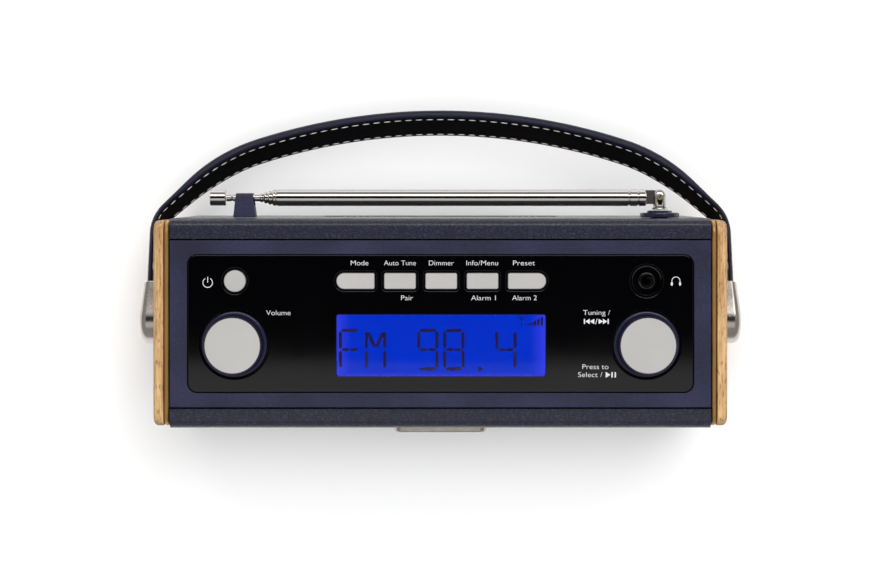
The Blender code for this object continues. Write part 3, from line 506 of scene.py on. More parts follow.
def bridge(bm, rings):
    """Walls from each ring to the next."""
    made = [loop(bm, ring) for ring in rings]
    for one, two in zip(made, made[1:]):
        bmesh.ops.bridge_loops(bm, edges=one + two)
    return made


def cover(bm, loops):
    """Flat face inside the first loop, with the others as its holes."""
    if len(loops) == 1:
        bmesh.ops.edgeloop_fill(bm, edges=loops[0])
    else:
        bmesh.ops.triangle_fill(bm, use_beauty=True, edges=[e for ring in loops for e in ring])


def plate(bm, outer, holes, face, back, edge, axis="Z", steps=4, back_edge=0.0):
    """Plate with cut-outs whose rims are rounded, at its face and, if asked, at its back."""
    place = PLACE[axis]
    toward = 1 if face > back else -1
    ends = ([], [])
    for outline, sign in [(outer, -1)] + [(hole, 1) for hole in holes]:
        rings = []
        for step in range(steps + 1):
            turn = math.pi / 2 * step / steps
            rings.append((sign * edge * (1 - math.sin(turn)), face - toward * edge * (1 - math.cos(turn))))
        if back_edge:
            for step in range(steps, -1, -1):
                turn = math.pi / 2 * step / steps
                rings.append((sign * back_edge * (1 - math.sin(turn)),
                              back + toward * back_edge * (1 - math.cos(turn))))
        else:
            rings.append((0.0, back))
        made = bridge(bm, [[place(u, v, w) for u, v in outline(grow)] for grow, w in rings])
        for rim in made[0] + made[-1]:
            rim.smooth = not holes
        ends[0].append(made[0])
        ends[1].append(made[-1])
    for loops in ends:
        cover(bm, loops)
    bmesh.ops.recalc_face_normals(bm, faces=bm.faces)
    return bm


def slab(bm, points, low, high, axis="Z"):
    """Flat shape of even thickness."""
    place = PLACE[axis]
    face = bm.faces.new([bm.verts.new(place(u, v, low)) for u, v in points])
    grown = bmesh.ops.extrude_face_region(bm, geom=[face])
    moved = [item for item in grown["geom"] if isinstance(item, bmesh.types.BMVert)]
    bmesh.ops.translate(bm, vec=place(0, 0, high - low), verts=moved)
    bmesh.ops.recalc_face_normals(bm, faces=bm.faces)


def repeated(bm, count, way):
    """Repeats all the faces that there are, each copy one step further."""
    first = list(bm.faces)
    for index in range(1, count):
        made = bmesh.ops.duplicate(bm, geom=first)
        moved = [item for item in made["geom"] if isinstance(item, bmesh.types.BMVert)]
        bmesh.ops.translate(bm, vec=way * index, verts=moved)


def ease_edges(bm, width, segments=3, limit=40.0):
    """Rounds every edge sharper than the limit."""
    edges = [e for e in bm.edges if e.is_manifold and e.calc_face_angle(0.0) > math.radians(limit)]
    bmesh.ops.bevel(bm, geom=edges, offset=width, offset_type="OFFSET", segments=segments, profile=0.5,
                    affect="EDGES", material=-1, clamp_overlap=True)


TURN = {"X": Matrix.Rotation(math.pi / 2, 4, "Y"), "Y": Matrix.Rotation(-math.pi / 2, 4, "X"),
        "Z": Matrix.Identity(4)}


def turned(bm, profile, centre=(0, 0, 0), axis="Z", closed=False, steps=None, ease=0.0):
    """Profile of (radius, height) spun about an axis through the centre."""
    steps = steps or bpy.context.scene.radio_sizes.turned_steps
    verts = [bm.verts.new((r, 0, h)) for r, h in profile]
    pairs = list(zip(verts, verts[1:]))
    if closed:
        pairs.append((verts[-1], verts[0]))
    edges = [bm.edges.new(pair) for pair in pairs]
    bmesh.ops.spin(bm, geom=verts + edges, cent=(0, 0, 0), axis=(0, 0, 1), angle=math.tau,
                   steps=steps, use_merge=True)
    bmesh.ops.remove_doubles(bm, verts=bm.verts, dist=1e-6)
    bmesh.ops.recalc_face_normals(bm, faces=bm.faces)
    if ease:
        ease_edges(bm, ease)
    bmesh.ops.transform(bm, matrix=Matrix.Translation(centre) @ TURN[axis], verts=bm.verts)
    return bm


def copied(node, ease=0.0, segments=3, limit=40.0):
    """Merged and cleaned copy of a CAD node's mesh, with its sharp edges eased."""
    bm = bmesh.new()
    bm.from_mesh(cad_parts[node].data)
    bmesh.ops.remove_doubles(bm, verts=bm.verts, dist=2e-6)
    bmesh.ops.dissolve_limit(bm, angle_limit=math.radians(0.6), verts=bm.verts, edges=bm.edges)
    if ease:
        ease_edges(bm, ease, segments, limit)
    return bm


def piece(name, bm, finish, body, stands_for=(), sharp=34.0):
    """Finished piece that rides on a CAD body and takes the material of its finish."""
    for edge in bm.edges:
        edge.smooth = edge.smooth and edge.calc_face_angle(0.0) < math.radians(sharp)
    for face in bm.faces:
        face.smooth = True
    mesh = bpy.data.meshes.new(name)
    bm.to_mesh(mesh)
    bm.free()
    mesh.materials.append(finish_of(finish))
    made = bpy.data.objects.new(name, mesh)
    bpy.context.collection.objects.link(made)
    weighted = made.modifiers.new("flat faces stay flat", "WEIGHTED_NORMAL")
    weighted.keep_sharp = True
    weighted.weight = 100
    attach(made, body)
    if stands_for:
        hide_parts(*([stands_for] if isinstance(stands_for, str) else stands_for))
    return made


def repaint(node, finish):
    """Gives a CAD node that keeps its shape a better material."""
    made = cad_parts[node]
    for slot in made.material_slots:
        slot.material = finish_of(finish)
    return made


# Operators ---------------------------------------------------------------------------------

class RADIO_OT_cabinet(bpy.types.Operator):
    """Leathercloth sleeve, wooden cheeks, brass edging and feet."""

    bl_idname = "radio.cabinet"
    bl_label = "Cabinet"
    bl_options = {"REGISTER", "UNDO"}

    def execute(self, context):
        sizes = context.scene.radio_sizes
        piece("sleeve_cover", copied("cabinet_sleeve", 0.0005, 2, 60), "cloth", "cabinet",
              "cabinet_sleeve")
        for side, sign in (("left", -1), ("right", 1)):
            low, high = corners(f"{side}_cheek")
            inner, outer = (low.x, high.x) if sign > 0 else (high.x, low.x)
            outline = box_outline(f"{side}_cheek", 0.006, 12, (1, 2))
            hole = circle(0.0028, (HANDLE_PIVOT.y, HANDLE_PIVOT.z), 32)
            bm = plate(bmesh.new(), outline, [hole], outer, inner, sizes.cheek_edge, "X", 8, 0.0004)
            piece(f"{side}_wood_cheek", bm, "wood", "cabinet", f"{side}_cheek")
            low, high = corners(f"{side}_trim")
            outline = box_outline(f"{side}_trim", 0.006, 12, (1, 2))
            inside = box_outline(f"{side}_trim", 0.0038, 12, (1, 2), -0.0064)
            half = (high.x - low.x) / 2 - 0.00005
            bm = plate(bmesh.new(), outline, [inside], high.x, low.x, half, "X", 6, half)
            piece(f"{side}_brass_edging", bm, "brass", "cabinet", f"{side}_trim")
        for row in ("front", "rear"):
            for side in ("left", "right"):
                node = f"foot_{row}_{side}"
                low, high = corners(node)
                radius = (high.x - low.x) / 2
                profile = [(0, low.z), (radius - 0.0016, low.z), (radius, low.z + 0.0016),
                           (radius, high.z), (0, high.z)]
                bm = turned(bmesh.new(), profile, (*middle(node).xy, 0), steps=48, ease=0.0004)
                piece(f"{node}_pad", bm, "rubber", "cabinet", node)
        return {"FINISHED"}


def key_outline(node):
    """Outline of one key, from its box; the end keys have one fully round end."""
    low, high = corners(node)
    tight = 0.0008
    big = (high.y - low.y) / 2 - 0.0001
    radii = {"mode_button": (tight, big, big, tight), "preset_button": (big, tight, tight, big)}
    return box_outline(node, radii.get(node, tight), 10)


KEYS = ("mode", "auto_tune", "dimmer", "info", "preset")


class RADIO_OT_top_panel(bpy.types.Operator):
    """Satin fascia and the gloss panel with its wells."""

    bl_idname = "radio.top_panel"
    bl_label = "Top panel"
    bl_options = {"REGISTER", "UNDO"}

    def execute(self, context):
        sizes = context.scene.radio_sizes
        low, high = corners("fascia_plate")
        slim = 0.0003
        outline = rounded(high.x - low.x, high.y - low.y - 2 * slim, 0.0004, middle("fascia_plate").xy, 3)
        opening = box_outline("control_panel", 0.0044, 12, grow=0.0006)
        bm = plate(bmesh.new(), outline, [opening], high.z, low.z, 0.00035, steps=4)
        piece("satin_fascia", bm, "satin", "cabinet", "fascia_plate")

        holes = []
        for name in KEYS:
            outline = key_outline(f"{name}_button")
            holes.append(lambda grow=0.0, base=outline: base(grow + 0.0009))
        power = middle("power_button")
        socket_low, socket_high = corners("headphone_socket")
        holes.append(circle((corners("power_button")[1].x - power.x) + 0.0010, power.xy, 48))
        holes.append(circle((socket_high.x - socket_low.x) / 2 + 0.0003,
                            middle("headphone_socket").xy, 64))
        for knob in ("volume", "tuning"):
            holes.append(circle(0.0154, middle(f"{knob}_knob").xy, 96))
        holes.append(box_outline("display_window", 0.0009, 4, grow=0.0004))
        panel = box_outline("control_panel", 0.0041, 12)
        bm = plate(bmesh.new(), panel, holes, PANEL_TOP, PANEL_LOW, sizes.panel_edge, steps=3)
        piece("gloss_panel", bm, "panel", "cabinet", "control_panel")
        return {"FINISHED"}


# Bars of one character cell, as corners in shares of its width and height
CELL_POINTS = {
    "a": ((0.04, 1), (0.96, 1)), "b": ((1, 0.97), (1, 0.53)), "c": ((1, 0.47), (1, 0.03)),
    "d": ((0.04, 0), (0.96, 0)), "e": ((0, 0.47), (0, 0.03)), "f": ((0, 0.97), (0, 0.53)),
    "g": ((0.05, 0.5), (0.48, 0.5)), "h": ((0.52, 0.5), (0.95, 0.5)),
    "i": ((0.08, 0.95), (0.46, 0.56)), "j": ((0.92, 0.95), (0.54, 0.56)),
}
CHARACTERS = {"F": "aefgh", "M": "bcefij", "9": "abcdfgh", "8": "abcdefgh", "4": "bcfgh", ".": ""}


def bar(bm, start, end, width, low, high, taper=0.45):
    """Straight bar with pointed ends."""
    start, end = Vector(start), Vector(end)
    way = (end - start).normalized()
    side = Vector((-way.y, way.x)) * width / 2
    tip = way * width * taper
    points = [start, start + tip - side, end - tip - side, end, end - tip + side, start + tip + side]
    slab(bm, [(p.x, p.y) for p in points], low, high)


class RADIO_OT_display(bpy.types.Operator):
    """Clear window, blue backlit display and its characters."""

    bl_idname = "radio.display"
    bl_label = "Display"
    bl_options = {"REGISTER", "UNDO"}

    def execute(self, context):
        low, high = corners("display_window")
        outline = box_outline("display_window", 0.0007, 6)
        bm = plate(bmesh.new(), outline, [], high.z, low.z, 0.00015, steps=2, back_edge=0.00015)
        piece("clear_window", bm, "clear", "cabinet", "display_window")
        repaint("lcd_module", "display")

        top = corners("lcd_module")[1].z
        span = (top + 0.00002, top + 0.00008)
        left = -0.0439
        foot = CABINET - 0.0201
        wide, tall, pitch = 0.0080, 0.0169, 0.01145
        thick = 0.00135
        bm = bmesh.new()
        for place, letter in enumerate("FM 98.4"):
            x = left + pitch * place
            for name in CHARACTERS.get(letter, ""):
                ends = [(x + wide * u, foot + tall * v) for u, v in CELL_POINTS[name]]
                bar(bm, ends[0], ends[1], thick, *span)
            if letter == ".":
                bar(bm, (x + 0.0030, foot), (x + 0.0050, foot), 0.0016, *span, taper=0.2)
        # aerial mark and rising bars
        mark = Vector((0.0357, CABINET + 0.0014))
        for way in ((-0.0016, 0.0018), (0.0, 0.0018), (0.0016, 0.0018)):
            bar(bm, mark, (mark.x + way[0], mark.y + way[1]), 0.0004, *span, taper=0.1)
        bar(bm, mark, (mark.x, mark.y - 0.0026), 0.0004, *span, taper=0.1)
        for step in range(5):
            x = 0.0386 + 0.0015 * step
            bar(bm, (x, CABINET - 0.0011), (x, CABINET - 0.0003 + 0.0007 * step), 0.0010, *span,
                taper=0.05)
        piece("lcd_characters", bm, "segment", "cabinet")
        return {"FINISHED"}


LABELS = (
    # words, middle x, baseline y from the cabinet's middle, width; in millimetres
    ("Mode", -35.4, 25.5, 7.7), ("Auto Tune", -17.7, 25.5, 14.0), ("Dimmer", 0.44, 25.5, 10.9),
    ("Info/Menu", 18.35, 25.5, 13.9), ("Preset", 36.7, 25.5, 9.6), ("Pair", -14.6, 10.2, 5.2),
    ("Alarm 1", 18.9, 10.2, 10.8), ("Alarm 2", 36.9, 10.2, 10.8), ("Volume", -71.0, 3.65, 10.7),
    ("Tuning /", 68.5, 3.75, 11.8), ("Press to", 68.0, -20.0, 11.4), ("Select /", 65.7, -23.5, 10.6),
)
CAP_HEIGHT = 0.00225


def lettering(bm, words, x, y, width, low, high):
    """Printed words, from the built-in face, as a thin solid of that width."""
    curve = bpy.data.curves.new("words", "FONT")
    curve.body = words
    curve.size = CAP_HEIGHT / 0.73
    curve.extrude = 0.5
    curve.offset = -0.00003
    made = bpy.data.objects.new("words", curve)
    bpy.context.collection.objects.link(made)
    bpy.context.view_layer.update()
    mesh = bpy.data.meshes.new_from_object(made.evaluated_get(bpy.context.evaluated_depsgraph_get()))
    bpy.data.objects.remove(made)
    across = [v.co.x for v in mesh.vertices]
    stretch = width / (max(across) - min(across))
    centre = (max(across) + min(across)) / 2
    place = (Matrix.Translation((x, y, (low + high) / 2))
             @ Matrix.Diagonal((stretch, 1, high - low, 1)) @ Matrix.Translation((-centre, 0, 0)))
    mesh.transform(place)
    bm.from_mesh(mesh)


def swept_arc(bm, centre, radius, width, start, end, low, high, steps=24):
    """Part of a flat ring."""
    points = arc(centre, radius + width / 2, start, end, steps)
    points += arc(centre, radius - width / 2, end, start, steps)
    slab(bm, points, low, high)


def triangle(bm, x, y, size, low, high):
    """Arrowhead that points right, or left if its size is negative."""
    half = abs(size) * 0.62
    slab(bm, [(x, y - half), (x + size, y), (x, y + half)], low, high)


class RADIO_OT_lettering(bpy.types.Operator):
    """Printed words and signs on the gloss panel."""

    bl_idname = "radio.lettering"
    bl_label = "Lettering"
    bl_options = {"REGISTER", "UNDO"}

    def execute(self, context):
        low = PANEL_TOP + 0.00001
        high = PANEL_TOP + 0.00004
        bm = bmesh.new()
        for words, x, y, width in LABELS:
            lettering(bm, words, x * MM, CABINET + y * MM, width * MM, low, high)
        # power sign
        x, y = -0.1020, CABINET + 0.0179
        swept_arc(bm, (x, y), 0.0021, 0.00034, 122, 418, low, high)
        slab(bm, rounded(0.00034, 0.0026, 0.00015, (x, y + 0.0013), 3)(), low, high)
        # headphone sign
        x, y = 0.1033, CABINET + 0.0186
        swept_arc(bm, (x, y), 0.0018, 0.00030, -14, 194, low, high)
        for sign in (-1, 1):
            ear = arc((0, 0), 1, 0, 360, 20)[:-1]
            slab(bm, [(x + sign * 0.0018 + 0.00046 * u, y - 0.0012 + 0.00090 * v) for u, v in ear],
                 low, high)
        # skip back and forward
        y = CABINET + 0.0009
        slab(bm, rounded(0.00055, 0.0022, 0.0001, (0.0632, y), 2)(), low, high)
        for x in (0.0655, 0.0675):
            triangle(bm, x, y, -0.0019, low, high)
        slab(bm, [(0.0679, y - 0.0012), (0.0682, y - 0.0012), (0.0689, y + 0.0012), (0.0686, y + 0.0012)],
             low, high)
        for x in (0.0694, 0.0713):
            triangle(bm, x, y, 0.0019, low, high)
        slab(bm, rounded(0.00055, 0.0022, 0.0001, (0.0736, y), 2)(), low, high)
        # play and pause
        y = CABINET - 0.0225
        triangle(bm, 0.0725, y, 0.0021, low, high)
        for x in (0.0753, 0.0767):
            slab(bm, rounded(0.00065, 0.0024, 0.0001, (x, y), 2)(), low, high)
        piece("panel_lettering", bm, "ink", "cabinet")
        return {"FINISHED"}


class RADIO_OT_knobs(bpy.types.Operator):
    """Volume and tuning knobs with their metal-look caps, and the encoders under them."""

    bl_idname = "radio.knobs"
    bl_label = "Knobs"
    bl_options = {"REGISTER", "UNDO"}

    def execute(self, context):
        for name, body in (("volume", "volume_control"), ("tuning", "tuning_control")):
            low, high = corners(f"{name}_knob")
            centre = (*middle(f"{name}_knob").xy, 0)
            foot_radius = (high.x - low.x) / 2
            cap_low, cap_high = corners(f"{name}_knob_cap")
            cap_radius = (cap_high.x - cap_low.x) / 2
            neck = cap_radius + 0.0006
            foot, top = low.z, high.z
            profile = [(0, top - 0.0045), (0.0033, top - 0.0045), (0.0033, foot + 0.0006),
                       (0.0062, foot + 0.0006), (foot_radius - 0.0004, foot),
                       (foot_radius, foot + 0.0004), (foot_radius, foot + 0.0014)]
            for step in range(9):
                bend = math.radians(8 + 82 * step / 8)
                profile.append((foot_radius - (foot_radius - neck) * math.sin(bend),
                                foot + 0.0020 + 0.0022 * (1 - math.cos(bend))))
            profile += [(neck, top - 0.0004), (neck - 0.0003, top - 0.0001),
                        (cap_radius + 0.0002, top), (cap_radius + 0.0002, top - 0.0012), (0, top - 0.0012)]
            piece(f"{name}_knob_body", turned(bmesh.new(), profile, centre), "gloss", body,
                  f"{name}_knob")
            cap = [(0, cap_low.z), (cap_radius, cap_low.z)] + eased_rim(cap_radius, cap_high.z, 0.0004)
            piece(f"{name}_cap_disc", turned(bmesh.new(), cap, centre), "silver", body,
                  f"{name}_knob_cap")
        for node in ("volume_encoder", "tuning_encoder", "tuning_shaft"):
            repaint(node, "steel")
        return {"FINISHED"}


class RADIO_OT_keys(bpy.types.Operator):
    """Power button and the row of five keys."""

    bl_idname = "radio.keys"
    bl_label = "Keys"
    bl_options = {"REGISTER", "UNDO"}

    def execute(self, context):
        sizes = context.scene.radio_sizes
        for name in KEYS:
            node = f"{name}_button"
            low, high = corners(node)
            bm = plate(bmesh.new(), key_outline(node), [], high.z, high.z - 0.0058, sizes.key_edge,
                       steps=5)
            post = rounded(0.004, 0.004, 0.0005, self.post(name), 3)
            plate(bm, post, [], high.z - 0.0060, low.z, 0.0001, steps=1)
            piece(f"{name}_key_cap", bm, "silver", f"{name}_key", node)
        low, high = corners("power_button")
        radius = (high.x - low.x) / 2
        profile = [(0, low.z), (0.0020, low.z), (0.0020, high.z - 0.0059), (radius, high.z - 0.0059)]
        profile += eased_rim(radius, high.z, sizes.key_edge)
        centre = (*middle("power_button").xy, 0)
        piece("power_key_cap", turned(bmesh.new(), profile, centre), "silver", "power_key",
              "power_button")
        return {"FINISHED"}

    def post(self, name):
        """Middle of the post under an ordinary key."""
        pitch = 0.0181
        return Vector((middle("dimmer_button").x + (KEYS.index(name) - 2) * pitch, ROW_Y))


class RADIO_OT_headphone_socket(bpy.types.Operator):
    """Dished headphone socket and the nut round its mouth."""

    bl_idname = "radio.headphone_socket"
    bl_label = "Headphone socket"
    bl_options = {"REGISTER", "UNDO"}

    def execute(self, context):
        low, high = corners("headphone_socket")
        radius = (high.x - low.x) / 2
        top = PANEL_TOP
        centre = (*middle("headphone_socket").xy, 0)
        profile = [(0, low.z + 0.0010), (0.0018, low.z + 0.0010), (0.0018, top - 0.0004),
                   (0.0034, top - 0.0004), (0.0037, top - 0.0006), (0.0037, top - 0.0015),
                   (0.0041, top - 0.0019), (0.0048, top - 0.0019), (radius - 0.0010, top - 0.0007),
                   (radius - 0.0008, top - 0.0002), (radius - 0.0005, top - 0.0001),
                   (radius - 0.0002, top - 0.0001), (radius, top - 0.0003), (radius, top - 0.0034),
                   (0.0045, top - 0.0034), (0.0045, low.z), (0, low.z)]
        piece("socket_dish", turned(bmesh.new(), profile, centre), "panel", "cabinet",
              "headphone_socket")
        nut = [(0.0021, top - 0.0002), (0.0030, top - 0.0002), (0.0030, top + 0.0003),
               (0.0028, top + 0.0005), (0.0023, top + 0.0005), (0.0021, top + 0.0003)]
        piece("socket_nut", turned(bmesh.new(), nut, centre, closed=True), "panel", "cabinet",
              "headphone_nut")
        return {"FINISHED"}


def strap_stations():
    """Stations from one leg over the crown to the other: (x, reach, angle of the outward normal)."""
    stations = []
    centre = (0.0, STRAP_REACH - STRAP_CROWN)
    crown_steps, shoulder_steps, flat_steps, bend_steps, leg_steps = 34, 14, 5, 16, 14
    for step in range(crown_steps + 1):
        a = STRAP_CROWN_ANGLE * step / crown_steps
        stations.append((centre[0] + STRAP_CROWN * math.sin(a), centre[1] + STRAP_CROWN * math.cos(a), a))
    lead = STRAP_CROWN - STRAP_SHOULDER
    centre = (lead * math.sin(STRAP_CROWN_ANGLE), centre[1] + lead * math.cos(STRAP_CROWN_ANGLE))
    for step in range(1, shoulder_steps + 1):
        a = STRAP_CROWN_ANGLE + (STRAP_SHOULDER_ANGLE - STRAP_CROWN_ANGLE) * step / shoulder_steps
        stations.append((centre[0] + STRAP_SHOULDER * math.sin(a),
                         centre[1] + STRAP_SHOULDER * math.cos(a), a))
    x0, reach0, a = stations[-1]
    for step in range(1, flat_steps + 1):
        go = STRAP_FLAT * step / flat_steps
        stations.append((x0 + go * math.cos(a), reach0 - go * math.sin(a), a))
    x, reach, a = stations[-1]
    radius = (STRAP_LEG_X - x) / (1 - math.sin(a))
    centre = (STRAP_LEG_X - radius, reach - radius * math.cos(a))
    for step in range(1, bend_steps + 1):
        b = a + (math.pi / 2 - a) * step / bend_steps
        stations.append((centre[0] + radius * math.sin(b), centre[1] + radius * math.cos(b), b))
    last = stations[-1][1]
    for step in range(1, leg_steps + 1):
        stations.append((STRAP_LEG_X, last + (STRAP_START - last) * step / leg_steps, math.pi / 2))
    return [(-x, r, -a) for x, r, a in reversed(stations)] + stations[1:]


def strap_size(reach):
    """Half width and thickness of the strap at that reach; the padding starts above the legs."""
    share = min(1.0, max(0.0, (reach - PADDING_SPAN[0]) / (PADDING_SPAN[1] - PADDING_SPAN[0])))
    eased = share * share * (3 - 2 * share)
    half = STRAP_WIDTH[0] + (STRAP_WIDTH[1] - STRAP_WIDTH[0]) * eased
    return half / 2, STRAP_THICK[0] + (STRAP_THICK[1] - STRAP_THICK[0]) * eased


def strap_section(half, thick):
    """Closed section as (across, depth): domed outer face, rolled edges, flat inner face."""
    points = []
    shoulder = 0.0034
    for step in range(9):
        turn = math.radians(90 * step / 8)
        points.append((half - shoulder + shoulder * math.sin(turn), 0.58 * thick * (1 - math.cos(turn))))
    low = 0.32 * thick
    for step in range(1, 4):
        turn = math.radians(90 * step / 3)
        points.append((half - 0.0007 * (1 - math.cos(turn)), thick - low + low * math.sin(turn)))
    points.append((half - 0.0035, thick))
    crown = [(half * 0.35, 0.0), (half * 0.65, 0.0)]
    right = crown + points
    left = [(-across, depth) for across, depth in reversed(right)]
    return right + left


def handle_frame():
    """Places the strap's own plane in the radio."""
    return Matrix.Translation(HANDLE_PIVOT) @ Matrix.Rotation(-HANDLE_DROOP, 4, "X")


def strap_point(station, across, depth):
    """Point of the strap's plane at a station."""
    x, reach, angle = station
    return Vector((x - depth * math.sin(angle), reach - depth * math.cos(angle), across))


def lofted(stations, place, section):
    """Closed form whose section at each station follows from the strap's size there."""
    bm = bmesh.new()
    rings = []
    for station in stations:
        points = section(*strap_size(station[1]))
        rings.append([place @ strap_point(station, across, depth) for across, depth in points])
    made = bridge(bm, rings)
    cover(bm, [made[0]])
    cover(bm, [made[-1]])
    bmesh.ops.recalc_face_normals(bm, faces=bm.faces)
    return bm


def along_strap(stations, distance):
    """Station at a distance along the strap, measured on its outer line."""
    for one, two in zip(stations, stations[1:]):
        step = math.hypot(two[0] - one[0], two[1] - one[1])
        if distance <= step:
            share = distance / step
            return tuple(a + (b - a) * share for a, b in zip(one, two))
        distance -= step
    return stations[-1]


class RADIO_OT_handle(bpy.types.Operator):
    """Padded leather strap with its lining and stitching, and the plated brackets."""

    bl_idname = "radio.handle"
    bl_label = "Handle"
    bl_options = {"REGISTER", "UNDO"}

    def execute(self, context):
        sizes = context.scene.radio_sizes
        stations = strap_stations()
        place = handle_frame()

        def lining_section(half, thick):
            inside = half - sizes.stitch_inset + 0.0009
            return [(-inside, thick - 0.0004), (inside, thick - 0.0004), (inside, thick + 0.00005),
                    (inside - 0.0003, thick + 0.00022), (-inside + 0.0003, thick + 0.00022),
                    (-inside, thick + 0.00005)]
        strap = piece("padded_strap", lofted(stations, place, strap_section), "leather", "handle",
                      "handle_strap", 60)
        piece("strap_lining", lofted(stations[10:-10], place, lining_section), "lining", "handle")
        self.stitch(stations, place, sizes)
        self.brackets(place)
        for side in ("left", "right"):
            repaint(f"{side}_pivot_screw", "steel")
        return {"FINISHED"}

    def stitch(self, stations, place, sizes):
        """Two rows of stitches on each face."""
        total = sum(math.hypot(b[0] - a[0], b[1] - a[1]) for a, b in zip(stations, stations[1:]))
        first = 0.0160
        count = int((total - 2 * first) / sizes.stitch_pitch)
        start = (total - count * sizes.stitch_pitch) / 2
        for name, outside in (("inner_stitching", False), ("outer_stitching", True)):
            bm = bmesh.new()
            for index in range(count + 1):
                station = along_strap(stations, start + index * sizes.stitch_pitch)
                angle = station[2]
                half, thick = strap_size(station[1])
                for sign in (-1, 1):
                    across = sign * (half - sizes.stitch_inset)
                    depth = 0.00020 if outside else thick + 0.00010
                    at = strap_point(station, across, depth)
                    way = Vector((math.cos(angle), -math.sin(angle), 0.0))
                    up = Vector((math.sin(angle), math.cos(angle), 0.0)) * (1 if outside else -1)
                    side = up.cross(way)
                    tilt = Matrix((way, side, up)).transposed().to_4x4()
                    size = Matrix.Diagonal((sizes.stitch_length / 2, 0.00056, 0.00030, 1))
                    bmesh.ops.create_uvsphere(bm, u_segments=8, v_segments=6, radius=1.0,
                                              matrix=place @ Matrix.Translation(at) @ tilt @ size)
            piece(name, bm, "thread", "handle", sharp=80)

    def brackets(self, place):
        """Plated castings that hold the strap's ends: domed lug, tapering to a sleeve."""
        def outline(grow=0.0):
            mouth, tight = BRACKET_REACH + 0.12 * grow, 0.0006
            half = BRACKET_HALF + grow
            sides = [(BRACKET_NEAR + go, half + BRACKET_FLARE * go) for go in (0, 0.003, 0.006)]
            edge = half + BRACKET_FLARE * (mouth - BRACKET_NEAR)
            points = arc((0, 0), BRACKET_LUG + grow, -90, -270, 24) + sides
            points += arc((mouth - tight, edge - tight), tight, 90, 0, 4)
            points += arc((mouth - tight, tight - edge), tight, 0, -90, 4)
            return points + [(go, -across) for go, across in reversed(sides)]
        for side, sign in (("left", -1), ("right", 1)):
            bm = plate(bmesh.new(), outline, [], sign * BRACKET_OUT, sign * BRACKET_IN, 0.0036, "X", 8,
                       0.0005)
            for vert in bm.verts:
                share = min(1.0, max(0.0, (vert.co.y - 0.001) / 0.0138))
                deep = abs(vert.co.x) - BRACKET_IN
                vert.co.x = sign * (BRACKET_IN + deep * (1 - BRACKET_TAPER * share))
            bmesh.ops.transform(bm, matrix=place, verts=bm.verts)
            bmesh.ops.recalc_face_normals(bm, faces=bm.faces)
            piece(f"{side}_plated_bracket", bm, "cast_chrome", "handle", f"{side}_bracket", 50)


